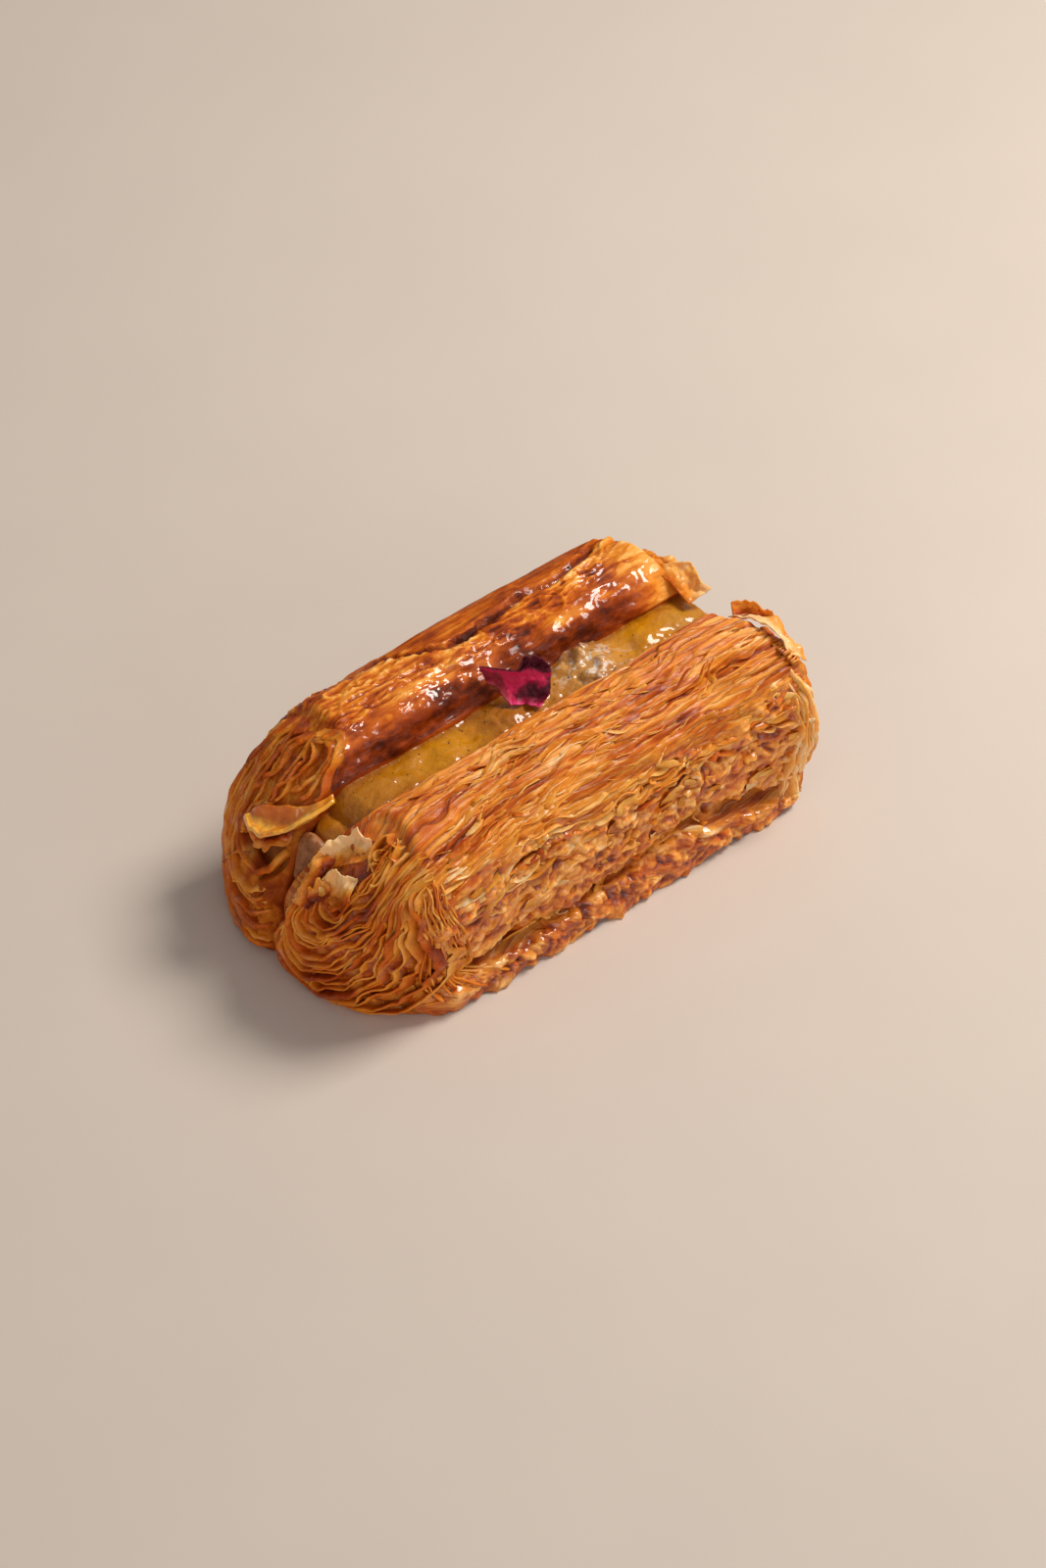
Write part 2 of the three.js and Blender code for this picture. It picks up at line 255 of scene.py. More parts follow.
def smooth_curve(control, shares):
    """Sections (count, points, 2) as centripetal curves, read at shares of their length."""
    first = 2 * control[:, :1] - control[:, 1:2]
    last = 2 * control[:, -1:] - control[:, -2:-1]
    p = np.concatenate([first, control, last], axis=1)
    d = np.sqrt(np.linalg.norm(p[:, 1:] - p[:, :-1], axis=2))[..., None]
    p0, p1, p2, p3 = p[:, :-3], p[:, 1:-2], p[:, 2:-1], p[:, 3:]
    d0, d1, d2 = d[:, :-2], d[:, 1:-1], d[:, 2:]
    m1 = ((p1 - p0) / d0 - (p2 - p0) / (d0 + d1) + (p2 - p1) / d1) * d1
    m2 = ((p2 - p1) / d1 - (p3 - p1) / (d1 + d2) + (p3 - p2) / d2) * d1
    parts = []
    for u in np.linspace(0, 1, 16, endpoint=False):
        a = 2 * u**3 - 3 * u**2 + 1
        b = u**3 - 2 * u**2 + u
        c = -2 * u**3 + 3 * u**2
        e = u**3 - u**2
        parts.append(a * p1 + b * m1 + c * p2 + e * m2)
    dense = np.stack(parts, axis=2).reshape(len(control), -1, 2)
    dense = np.concatenate([dense, control[:, -1:]], axis=1)
    step = np.linalg.norm(np.diff(dense, axis=1), axis=2)
    run = np.concatenate([np.zeros((len(dense), 1)), np.cumsum(step, axis=1)], axis=1)
    out = np.empty((len(dense), len(shares), 2))
    for k in range(len(dense)):
        at = shares * run[k, -1]
        out[k, :, 0] = np.interp(at, run[k], dense[k, :, 0])
        out[k, :, 1] = np.interp(at, run[k], dense[k, :, 1])
    return out, run[:, -1]


FRONT = {
    "outer": front_outer,
    "wall": wall_front,
    "near": front_near,
    "far": front_far,
    "heart": (-16.0, 32.5),
    "turn": 1.0,
    "crowd": [(0.0, 0.8), (0.12, 1.0), (0.5, 1.1), (0.62, 1.5), (1.0, 1.5)],
}
BACK = {
    "outer": back_outer,
    "wall": wall_back,
    "near": back_near,
    "far": back_far,
    "heart": (14.0, 29.0),
    "turn": -1.0,
    "crowd": [(0.0, 0.7), (0.3, 0.8), (0.5, 1.0), (0.62, 1.3), (1.0, 1.3)],
}


class Skin:
    """A roll's surface as a grid: rings at the near end, stations along it, rings at the far end."""

    def __init__(self, roll, outer=176, wall=56, base=36, stations=250):
        self.roll = roll
        crowd = np.array(roll["crowd"])
        u = np.linspace(0, 1, 400)
        density = np.interp(u, crowd[:, 0], crowd[:, 1])
        total = np.concatenate([[0], np.cumsum((density[1:] + density[:-1]) / 2)])
        shares = np.interp(np.linspace(0, 1, outer + 1), total / total[-1], u)
        x = np.linspace(-REACH, REACH, stations)
        curve, length = smooth_curve(roll["outer"](x), shares)
        top = curve[:, -1, 1]
        down = np.linspace(1, 0, wall + 1)[1:]
        wall_z = top[:, None] * down[None, :]
        wall_y = roll["wall"](wall_z)
        along = np.linspace(0, 1, base + 1)[1:-1]
        base_y = lerp(roll["wall"](0.0), curve[:, :1, 0], along[None, :])
        y = np.concatenate([curve[..., 0], wall_y, base_y], axis=1)
        z = np.concatenate([curve[..., 1], wall_z, 0 * base_y], axis=1)
        t = np.linspace(0, 1, stations)[:, None]
        near = roll["near"](y, z) + RIM_ROUND
        far = roll["far"](y, z) - RIM_ROUND
        middle = np.stack([lerp(near, far, t), y, z], axis=2)
        rings = np.concatenate([np.linspace(0.03, 0.9, 33), np.linspace(0.915, 0.997, 8)])
        self.first = len(rings)
        self.last = self.first + stations - 1
        near_cap = [self.ring(y[0], z[0], s, roll["near"], 1) for s in rings]
        far_cap = [self.ring(y[-1], z[-1], s, roll["far"], -1) for s in rings[::-1]]
        self.points = np.concatenate([np.array(near_cap), middle, np.array(far_cap)])
        self.rows, self.cols = self.points.shape[:2]
        scale = np.concatenate([rings, np.ones(stations), rings[::-1]])
        self.cap = np.repeat((1 - smoothstep(scale, 0.93, 1.0))[:, None], self.cols, axis=1)
        self.is_near = np.arange(self.rows)[:, None] < self.rows // 2
        run = shares * length.mean()
        self.rim = outer
        self.arc = np.concatenate([run, run[-1] + 45 * (1 - down), run[-1] + 45 + 40 * along])
        self.outer_length = run[-1]
        self.normals = self.outward(self.points)

    def ring(self, y, z, s, end, sign):
        """An end's ring, s times as large as its rim, which rounds over at the outermost ones."""
        cy, cz = self.roll["heart"]
        py = cy + s * (y - cy)
        pz = np.maximum(0, cz + s * (z - cz))
        depth = RIM_ROUND * (1 - np.sqrt(1 - s**8))
        return np.stack([end(py, pz) + sign * depth, py, pz], axis=1)

    def outward(self, points):
        """Directions of length 1 that point out of the dough."""
        along = np.gradient(points, axis=0)
        across = (np.roll(points, -1, axis=1) - np.roll(points, 1, axis=1)) / 2
        n = np.cross(along, across) * self.roll["turn"]
        return n / np.maximum(np.linalg.norm(n, axis=2, keepdims=True), 1e-9)

    def run(self):
        """Length along the roll, which goes on over the rims, and how far inside a rim it is."""
        step = np.linalg.norm(np.diff(self.points, axis=0), axis=2)
        length = np.concatenate([np.zeros((1, self.cols)), np.cumsum(step, axis=0)])
        inside = np.maximum(length[self.first] - length, length - length[self.last])
        return length - length[self.first] + self.points[self.first, :, 0].mean(), np.maximum(inside, 0)

    def at(self, row, col):
        """The surface and its outward direction at fractions of a row and of a column."""
        row = np.clip(row, 0, self.rows - 1.001)
        i = np.floor(row).astype(int)
        j = np.floor(col).astype(int)
        u, v = (row - i)[:, None], (col - j)[:, None]
        j, k = j % self.cols, (j + 1) % self.cols
        out = []
        for grid in (self.points, self.normals):
            low = lerp(grid[i, j], grid[i, k], v)
            high = lerp(grid[i + 1, j], grid[i + 1, k], v)
            out.append(lerp(low, high, u))
        out[1] /= np.linalg.norm(out[1], axis=1, keepdims=True)
        return out

    def col_of(self, arc):
        """The column at a distance round the outside of the roll."""
        return np.interp(arc, self.arc[: self.rim + 1], np.arange(self.rim + 1))


# Meshes


def grid_faces(n, m):
    """The numbers of a grid's points, those of their neighbours round the grid, and its faces."""
    ids = np.arange(n * m).reshape(n, m)
    right = np.roll(ids, -1, axis=1)
    return ids, right, np.stack([ids[:-1], ids[1:], right[1:], right[:-1]], axis=2).reshape(-1, 4)


def capped_grid(grid):
    """Points, four-sided and three-sided faces of a tube over a grid (n, m, 3), which is closed at
    each end by a fan about its middle."""
    n, m = grid.shape[:2]
    verts = np.concatenate([grid.reshape(-1, 3), grid[:1].mean(axis=1), grid[-1:].mean(axis=1)])
    ids, right, quads = grid_faces(n, m)
    near = np.stack([np.full(m, n * m), ids[0], right[0]], axis=1)
    far = np.stack([np.full(m, n * m + 1), right[-1], ids[-1]], axis=1)
    return verts, quads, np.concatenate([near, far])


def signed_volume(verts, tris):
    """The space that the faces close in, which is below 0 where they face inwards."""
    a, b, c = verts[tris[:, 0]], verts[tris[:, 1]], verts[tris[:, 2]]
    return float(np.einsum("ij,ij->i", a, np.cross(b, c)).sum()) / 6.0


def add_mesh(name, verts, quads, tris=None, fields=None):
    """A mesh object from points in mm, with its faces turned outwards and one value a point for
    each of the named fields."""
    quads = np.asarray(quads, np.int64).reshape(-1, 4)
    tris = np.zeros((0, 3), np.int64) if tris is None else np.asarray(tris, np.int64).reshape(-1, 3)
    split = np.concatenate([quads[:, [0, 1, 2]], quads[:, [0, 2, 3]], tris])
    if signed_volume(verts, split) < 0:
        quads, tris = quads[:, ::-1], tris[:, ::-1]
    mesh = bpy.data.meshes.new(name)
    mesh.vertices.add(len(verts))
    mesh.vertices.foreach_set("co", (np.asarray(verts, np.float64) * MM).astype(np.float32).ravel())
    mesh.loops.add(4 * len(quads) + 3 * len(tris))
    mesh.loops.foreach_set("vertex_index", np.concatenate([quads.ravel(), tris.ravel()]).astype(np.int32))
    mesh.polygons.add(len(quads) + len(tris))
    sizes = np.concatenate([np.full(len(quads), 4), np.full(len(tris), 3)])
    starts = np.concatenate([[0], np.cumsum(sizes)[:-1]])
    mesh.polygons.foreach_set("loop_start", starts.astype(np.int32))
    mesh.polygons.foreach_set("use_smooth", np.ones(len(sizes), bool))
    mesh.update(calc_edges=True)
    mesh.validate()
    for key, values in (fields or {}).items():
        values = np.asarray(values, np.float32)
        kind, part = ("FLOAT", "value") if values.ndim == 1 else ("FLOAT_VECTOR", "vector")
        mesh.attributes.new(key, kind, "POINT").data.foreach_set(part, values.ravel())
    thing = bpy.data.objects.new(name, mesh)
    bpy.context.scene.collection.objects.link(thing)
    return thing


def with_ends(fields):
    """Each field as a list of values, one a point, with one more for each end's middle point."""
    out = {}
    for key, grid in fields.items():
        tail = grid.shape[2:]
        ends = np.stack([grid[0].mean(0), grid[-1].mean(0)])
        out[key] = np.concatenate([grid.reshape((-1,) + tail), ends.reshape((2,) + tail)])
    return out


def finish_piece(thing, material, replaced=()):
    """Gives a piece its finish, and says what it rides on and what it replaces."""
    thing.data.materials.clear()
    thing.data.materials.append(material)
    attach(thing, BODY)
    if replaced:
        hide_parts(*replaced)


class Heap:
    """Collects many small closed shapes into one mesh."""

    def __init__(self):
        self.verts, self.quads, self.fields, self.count = [], [], {}, 0

    def add(self, verts, quads, **fields):
        self.verts.append(verts)
        self.quads.append(np.asarray(quads) + self.count)
        self.count += len(verts)
        for key, value in fields.items():
            full = np.broadcast_to(np.asarray(value, float), (len(verts),))
            self.fields.setdefault(key, []).append(full)

    def build(self, name):
        fields = {key: np.concatenate(parts) for key, parts in self.fields.items()}
        return add_mesh(name, np.concatenate(self.verts), np.concatenate(self.quads), None, fields)


def closed_loops(loops):
    """Four-sided faces over loops (n, m, 3) of points, where m is even: a tube whose two ends are
    closed by a row of faces, because each loop goes up one side of a leaf and down the other."""
    n, m = loops.shape[:2]
    ids, _, side = grid_faces(n, m)
    k = np.arange(m // 2 - 1)
    start = np.stack([ids[0][k], ids[0][k + 1], ids[0][m - 2 - k], ids[0][m - 1 - k]], axis=1)
    end = np.stack([ids[-1][m - 1 - k], ids[-1][m - 2 - k], ids[-1][k + 1], ids[-1][k]], axis=1)
    return loops.reshape(-1, 3), np.concatenate([side, start, end])


def leaf_edge(heap, path, out, height, lean, sink=2.0, thick=(0.5, 0.22), steps=3, **fields):
    """A thin leaf of dough that stands along a path: "out" is the way it stands, "height" how far,
    and "lean" how far its edge is bent to the side."""
    along = np.gradient(path, axis=0)
    side = np.cross(out, along)
    side /= np.maximum(np.linalg.norm(side, axis=1, keepdims=True), 1e-9)
    left, right, tips = [], [], []
    for k in range(steps + 1):
        h = k / steps
        rise_by = -sink + (height + sink) * h
        middle = path + out * rise_by[:, None] + side * (lean * h * h)[:, None]
        half = lerp(thick[0], thick[1], h) / 2
        left.append(middle + side * half)
        right.append(middle - side * half)
        tips.append(np.full(len(path), h))
    loops = np.stack(left + right[::-1], axis=1)
    tip = np.stack(tips + tips[::-1], axis=1)
    verts, quads = closed_loops(loops)
    spread = {key: np.repeat(np.broadcast_to(v, (len(path),)), loops.shape[1]) for key, v in fields.items()}
    heap.add(verts, quads, tip=tip.ravel(), **spread)


def sheet(heap, middle, thick, **fields):
    """A thin closed sheet over a grid (n, m, 3) of middle points. "thick" is a number or a grid."""
    n, m = middle.shape[:2]
    normal = np.cross(np.gradient(middle, axis=0), np.gradient(middle, axis=1))
    normal /= np.maximum(np.linalg.norm(normal, axis=2, keepdims=True), 1e-9)
    half = np.broadcast_to(np.asarray(thick, float), (n, m))[..., None] / 2
    loops = np.concatenate([middle + normal * half, (middle - normal * half)[:, ::-1]], axis=1)
    verts, quads = closed_loops(loops)
    spread = {}
    for key, v in fields.items():
        grid = np.broadcast_to(np.asarray(v, float), (n, m))
        spread[key] = np.concatenate([grid, grid[:, ::-1]], axis=1).ravel()
    heap.add(verts, quads, **spread)


# Relief of the crust


def along_loop(skin):
    """Over the whole grid: position along X, distance round the loop and height, and 1 where the
    surface is on the outside of the roll."""
    p = skin.points
    arc = np.broadcast_to(skin.arc[None, :], p.shape[:2])
    outer = (np.arange(skin.cols)[None, :] <= skin.rim) * np.ones(p.shape[:2])
    return p[..., 0], arc, p[..., 2], outer


def inner_edge_fade(skin, share):
    """Lets the relief die down by a share where the outside turns into the wall of the seam."""
    turn = skin.outer_length
    return 1 - share * smoothstep(skin.arc[None, :], turn - 1.5, turn + 1)


def streaks(x, arc):
    """Long dark streaks along the top of the front roll, which its free leaves share."""
    return smoothstep(noise(plane(x / 26, arc / 2.2 + 40), 57), 0.2, 0.5)


def plane(u, v, w=0.0):
    """Places for the noise functions, from two or three numbers each."""
    u, v, w = np.broadcast_arrays(u, v, w)
    return np.stack([u, v, w], axis=-1)


def layer_phase(x, arc, pitch, seed):
    """Which layer of the dough shows here: whole numbers are the gaps between two layers."""
    bend = 1.3 * noise(plane(x / 26, arc / 9), seed) + 0.45 * noise(plane(x / 7, arc / 3.5), seed + 1)
    return arc / pitch + bend


def shingles(phase, x, seed):
    """Layers that overlap like tiles: how high each is, the gap behind its edge, and its tone."""
    layer = np.floor(phase)
    f = phase - layer
    strength = np.clip(0.7 + 0.9 * noise(plane(layer * 3.7, x / 12), seed), 0.05, 1.4)
    height = f * (1 - smoothstep(f, 0.85, 1.0)) * strength
    gap = bell(np.minimum(f, 1 - f), 0, 0.14) * strength
    return height, gap, noise(plane(layer * 5.3, x / 22), seed + 2)


def honeycomb(x, arc, seed, sx=4.2, sy=2.7):
    """Baked bubbles that have burst: raised walls between shallow pits."""
    q = plane(x, arc)
    wx = x + 1.6 * noise(q / 3.1, seed)
    wy = arc + 1.1 * noise(q / 2.7, seed + 1)
    near, second = cells(np.stack([wx / sx, wy / sy], axis=-1), seed + 2)
    wall = 1 - smoothstep(second - near, 0.03, 0.3)
    small_near, small_second = cells(np.stack([wx / (0.42 * sx), wy / (0.45 * sy)], axis=-1), seed + 3)
    small_wall = 1 - smoothstep(small_second - small_near, 0.02, 0.35)
    return wall, 1 - smoothstep(near, 0.0, 0.55), small_wall


def strands(x, arc, along, across, seed):
    """Torn strands of dough that lie along the roll, from 0 to 1 at their crests."""
    bend = noise(plane(x / (1.7 * along), arc / (2.2 * across)), seed)
    line = noise(plane(x / along + 0.7 * bend, arc / across + 1.1 * bend), seed + 1)
    return np.clip(1 - 1.9 * np.abs(line), 0, 1) ** 1.3


def softened(grid, reach):
    """The grid's mean over a square of cells, to tell crests from hollows."""
    out = grid
    for axis in (0, 1):
        parts = [np.roll(out, k, axis=axis) for k in range(-reach, reach + 1)]
        out = sum(parts) / len(parts)
    return out


def relief_shading(rise_by, reach=3, gain=2.2):
    """Crests above and hollows below the mean of their surroundings, as 1 and -1, with which the
    crusts paint light on crests and shade in hollows.
    """
    return np.tanh(gain * (rise_by - softened(rise_by, reach)))


def fan_down(x, arc, length):
    """How far the layers of the front roll's top bend down on to the face towards the near end."""
    share = np.clip((arc - length + 40) / 40, 0, 1)
    return 8.5 * smoothstep(-x, 16, 60) * (1 - share) ** 0.8


def front_crust(skin):
    """The front roll's surface with its relief, and the values that its material reads."""
    x, arc, z, outer = along_loop(skin)
    body = 1 - skin.cap
    g = groove_height(x)
    foot = outer * smoothstep(g - z, 0.3, 2.2)
    groove = outer * bell(z, g + 0.3, 1.7) * body
    border = 33.0 + 3.4 * noise(plane(x / 13, 0.0), 5)
    shoulder = smoothstep(z, border - 3, border + 6)
    top = outer * shoulder
    face = outer * (1 - shoulder) * smoothstep(z - g, 0.5, 3)
    arc = arc + fan_down(x, arc, skin.outer_length)
    height, gap, tone = shingles(layer_phase(x, arc, 2.3, 11), x, 12)
    swell = cloudy(plane(x / 15, arc / 9), 21)
    bend = 2.4 * noise(plane(x / 9, arc / 7), 22)
    ribbons = strands(x, arc + 0.7 * bend, 16, 2.6, 25)
    torn = smoothstep(cloudy(plane(x / 8, arc / 5), 41), -0.05, 0.10)
    torn_small = smoothstep(cloudy(plane(x / 4.2, arc / 2.9), 42), 0.05, 0.18)
    deep = smoothstep(cloudy(plane(x / 4.2, (arc + bend) / 2.7), 43), 0.40, 0.62)
    pillow = np.abs(cloudy(plane(x / 7.5, (arc + bend) / 4.2), 53, 2))
    small_pillow = np.abs(cloudy(plane(x / 2.9, (arc + bend) / 2.2), 54, 2))
    fold = strands(x, arc + 2.6 * bend, 15, 5.5, 59)
    top_rise = 0.55 * height - 0.25 * gap + 0.55 * ribbons
    face_rise = (fold - 0.4) + 1.3 * pillow + 0.7 * small_pillow + 0.3 * torn + 0.4 * torn_small - 0.9
    face_rise = face_rise - 0.9 * deep
    foot_rise = 1.5 * pillow + 0.9 * small_pillow + 0.35 * torn_small - 0.5 * deep - 0.6
    rise_by = top * top_rise + face * face_rise + foot * foot_rise
    rise_by = rise_by + 0.5 * swell * (top + face) - 0.9 * groove
    edge_fade = inner_edge_fade(skin, 0.5)
    run, depth = skin.run()
    cap_noise = cloudy(plane(skin.points[..., 1] / 3.1, z / 2.3), 71)
    relief_light_shade = relief_shading(rise_by)
    points = skin.points + skin.normals * (rise_by * body * edge_fade)[..., None]
    points = points + skin.normals * (skin.cap * (0.35 * cap_noise - 1.1))[..., None]
    points[..., 2] = np.maximum(points[..., 2], 0)
    # Painted light and shade: crests and raised torn patches paler, hollows and deep pits darker
    bake = 0.39 - 0.10 * relief_light_shade + 0.10 * tone + 0.20 * streaks(x, arc)
    on_face = 0.43 - 0.15 * relief_light_shade + 0.16 * deep - 0.10 * torn - 0.08 * torn_small
    bake = lerp(bake, on_face, face)
    bake = lerp(bake, 0.45 - 0.16 * relief_light_shade + 0.10 * deep - 0.12 * torn_small, foot)
    bake = lerp(bake, 0.48 + 0.12 * cap_noise, skin.cap)
    bake = lerp(bake, 0.55, (1 - outer) * body)
    # Painted shade: darker in layer gaps, deep pits, the groove, the ends and hollows of the relief
    hollow = top * gap * 0.3 + (face + foot) * deep * 0.35 + groove * 0.6 + skin.cap * 0.15
    hollow = hollow + 0.15 * np.maximum(0, -relief_light_shade) * outer * body
    fields = {
        "bake": bake + 0.06 * swell,
        "hollow": np.clip(hollow, 0, 1),
        "glaze": 0.1 * top + 0.8 * face + 1.0 * foot + 0.35 * skin.cap,
        "flaky": np.maximum(face + foot, smoothstep(depth, 6, 9)),
        "flow": np.where(depth[..., None] > 9, skin.points, plane(run, arc)) * MM,
    }
    return points, fields


# The wrinkle that crosses the top of the back roll, as (x, y)
WRINKLE = [
    (-40, 31),
    (-13.8, 28.6),
    (-6, 23.5),
    (0.4, 18.8),
    (8, 19.5),
    (17.5, 21.2),
    (34, 21.3),
    (51, 25.4),
]
# The hollow in the back roll's near end: middle (y, z), half sizes and depth
SCOOP_MIDDLE = (15.0, 26.2)
SCOOP_HALF = (9.6, 6.0)
SCOOP_DEPTH = 5.5


def back_crust(skin):
    """The back roll: a smooth glazed skin on top, rolled down to the filling, over baked sides."""
    x, arc, z, outer = along_loop(skin)
    y = skin.points[..., 1]
    body = 1 - skin.cap
    g = groove_height(9 - x)
    foot = outer * smoothstep(g - z, 0.3, 2.2) * (y > 12)
    groove = outer * bell(z, g + 0.3, 1.7) * (y > 12) * body
    top = outer * smoothstep(z, 34, 41)
    side = outer * (1 - smoothstep(z, 34, 41)) * smoothstep(z - g, 0.5, 3)
    way = np.array(WRINKLE, float)
    across = y - np.interp(x, way[:, 0], way[:, 1]) - 0.8 * wander(2.3 * x, 0.9)
    lip = outer * (1 - smoothstep(y, 10.5, 14.5 + 1.5 * noise(plane(x / 9, 0.0), 80)))
    low_lip = outer * (1 - smoothstep(y, 7.2, 10.8)) * smoothstep(z, 36, 39)
    strip = top * smoothstep(across, 0.8, 2.5)
    crease = top * bell(across, 0, 1.1) * smoothstep(x, -30, -12) * (1 - smoothstep(x, 46, 54))
    rough = top * (1 - strip) * (1 - lip)
    streak = cloudy(plane(x / 13, arc / 1.5), 81, 4, 0.6)
    folds = strands(x, arc + 1.2 * noise(plane(x / 9, arc / 7), 82), 8, 1.7, 88)
    fine_folds = strands(x, arc, 4, 0.9, 90)
    swell = cloudy(plane(x / 18, arc / 12), 83)
    dimple = cloudy(plane(x / 4.6, arc / 3.1), 84)
    bubbles_and_glints = cloudy(plane(x / 2.0, arc / 1.6), 85, 2)
    wall, pit, small_wall = honeycomb(x, arc, 86)
    side_strands = strands(x, arc, 8, 2.2, 96)
    puff = bell(x, 55, 7) * top * (1 - smoothstep(y, 18, 24))
    rise_by = rough * (0.75 * (folds - 0.35) + 0.45 * fine_folds + 0.25 * dimple) * (1 - 0.7 * puff)
    rise_by = rise_by + strip * (0.16 * streak + 0.3 * (strands(x, arc, 30, 1.4, 89) - 0.3))
    sag = cloudy(plane(x / 8, arc / 6), 79)
    rise_by = rise_by + lip * (0.9 * sag + 0.35 * dimple + 0.10 * bubbles_and_glints) + 0.55 * swell * outer
    rise_by = rise_by - 1.5 * crease + 0.4 * bell(np.abs(across), 1.9, 0.9) * top * smoothstep(x, -30, -12)
    rise_by = rise_by + 1.2 * puff + side * (0.6 * (side_strands - 0.3) + 0.3 * small_wall - 0.5 * pit)
    rise_by = rise_by + foot * (0.7 * wall - 0.7 * pit) - 0.9 * groove
    fade = body * inner_edge_fade(skin, 0.6)
    cap_noise = cloudy(plane(y / 3.1, z / 2.3), 87)
    relief_light_shade = relief_shading(rise_by)
    points = skin.points + skin.normals * (rise_by * fade)[..., None]
    points = points + skin.normals * (skin.cap * (0.3 * cap_noise - 0.8))[..., None]
    from_middle = [(v - m) / half for v, m, half in zip((y, z), SCOOP_MIDDLE, SCOOP_HALF)]
    bowl = np.clip(1 - from_middle[0] ** 2 - from_middle[1] ** 2, 0, 1)
    scoop = np.sqrt(bowl) * skin.cap * skin.is_near
    crumb = skin.cap * (1 - smoothstep(y, 11, 16)) * (1 - smoothstep(z, 19, 23))
    points[..., 0] += SCOOP_DEPTH * scoop - 1.2 * crumb * cloudy(plane(y / 1.5, z / 1.5), 98, 3)
    points[..., 2] = np.maximum(points[..., 2], 0)
    bake = 0.60 + 0.12 * streak
    # Painted light and shade: crests paler and hollows darker, and the foot's raised walls paler
    bake = lerp(bake, 0.54 - 0.24 * relief_light_shade + 0.2 * cloudy(plane(x / 7, arc / 4), 97), rough)
    bake = lerp(bake, 0.60 - 0.24 * sag + 0.14 * dimple, lip * top)
    bake = lerp(bake, 0.84 + 0.05 * swell, low_lip)
    bake = lerp(bake, 0.46 - 0.22 * relief_light_shade, side)
    bake = lerp(bake, 0.62 - 0.2 * wall, foot)
    bake = lerp(bake, 0.50 + 0.14 * cap_noise, skin.cap)
    bake = lerp(bake, 0.70, (1 - outer) * body)
    bake = lerp(bake, 0.88, np.clip(1.2 * crease, 0, 1))
    bake = lerp(bake, 0.20, 0.8 * puff)
    # Painted shade: darker in the crease, the groove, over the ends, in pits and in the scoop
    hollow = 0.4 * crease + 0.6 * groove + 0.25 * skin.cap + 0.3 * pit * side + 0.2 * scoop
    puddle = 1.2 * bell(x, 43, 4) * bell(y, 7, 3)
    glaze = np.clip(puddle + 0.55 * rough + lip * top + 0.1 * strip + crease + puff, 0, 1) * top
    fields = {
        "bake": bake,
        "hollow": np.clip(hollow, 0, 1),
        "glaze": (1 - 0.75 * low_lip) * glaze + 0.15 * side + 0.2 * scoop,
        "flaky": rough * smoothstep(x, -20, 5) + 0.7 * side,
        "rough": np.clip(rough + side + 0.5 * strip + 0.4 * lip, 0, 1),
    }
    return points, fields


# The layers that show at the ends

# Guide lines (y, z) of the layers on each end, from the innermost to the outermost
FRONT_NEAR_GUIDES = [
    [(-9.5, 33.6), (-11.5, 32), (-14, 30.2), (-16.4, 30), (-18.6, 32.2), (-19.6, 37), (-20.6, 44.6)],
    [(-7.2, 34), (-6.6, 27), (-4.9, 21), (-7.5, 17.6), (-12, 17.6), (-18, 24), (-24.3, 30), (-25.4, 44.8)],
    [
        (-3.6, 24), (-1.4, 14), (-1.4, 6.4), (-6.2, 3.4), (-12, 6), (-18.6, 11.5), (-25.8, 23.5),
        (-28.2, 44.4),
    ],
    [(1.5, 14), (1.6, 6), (-2, 1.2), (-8, 0.8), (-15.7, 3.6), (-21.5, 8.4), (-28.2, 19), (-30.6, 43.4)],
    [(4.6, 7), (4, 1.2), (-2, 0.3), (-14, 0.4), (-25, 1.2), (-33.2, 6), (-34.4, 22), (-32, 42)],
]
BACK_NEAR_GUIDES = [
    [(18.6, 47.2), (15.6, 46.9), (11.9, 45.9), (9.2, 44), (7.6, 41.4), (7.6, 39.4)],
    [(18.7, 47.1), (15.3, 46), (12.2, 44.2), (11.2, 42), (12.4, 39.4), (14.6, 37)],
    [(19, 46.9), (17, 45.2), (14.4, 43.1), (13.7, 40.8), (15.2, 36.9), (19, 33)],
    [(19.8, 46.5), (18.8, 44.5), (17.3, 42.4), (17, 39.8), (18.8, 35.9), (22.2, 30.4)],
    [(20.8, 46), (22, 42.7), (21.7, 39.8), (22.3, 35.9), (23.4, 31), (24, 26.8)],
    [(23.5, 45), (25.9, 41), (26, 36), (26, 30), (25.4, 24), (21, 17.5), (14, 17.5), (8, 20)],
    [(27, 43.4), (29.6, 39), (29.4, 33), (28.6, 25), (28, 16), (23, 10.5), (15, 10.5), (7.4, 12)],
    [(30.4, 41.5), (33, 34), (33, 22), (32.4, 9), (28, 3), (20, 1.8), (12, 2.6), (6.4, 2.4)],
]
# Loops of the knot beside the seam: middle (y, z), half sizes, tilt and number of turns
KNOT_LOOPS = [
    (-18.2, 42.6, 3.6, 2.4, 1.0, 1.6),
    (-18.4, 42.4, 1.7, 1.1, 1.0, 1.1),
    (-20.4, 40.6, 3.0, 5.2, -0.2, 0.8),
    (-22.6, 39.4, 2.6, 4.6, -0.3, 0.7),
]
# The lower lip of the hollow under the ledge
POCKET_RIM = [
    (22.6, 28.6),
    (22.8, 26),
    (21.6, 23.8),
    (19.3, 22.4),
    (14.9, 21.8),
    (10.5, 22.2),
    (7.7, 23.2),
    (5.6, 27.4),
]
# About how far apart two rows of a skin are, in mm
ROW_SPACING = 0.46


def resampled(line, count):
    """A smooth line of count points through a few (y, z)."""
    curve, _ = smooth_curve(np.array([line], float), np.linspace(0, 1, count))
    return curve[0]


def layer_lines(guides, between, count):
    """Lines for every layer, worked out between neighbouring guides."""
    lines = [resampled(g, count) for g in guides]
    out = []
    for a, b, share in zip(lines[:-1], lines[1:], between):
        for k in range(share):
            out.append(lerp(a, b, (k + 0.36 * math.sin(5.1 * len(out))) / share))
    out.append(lines[-1])
    return out


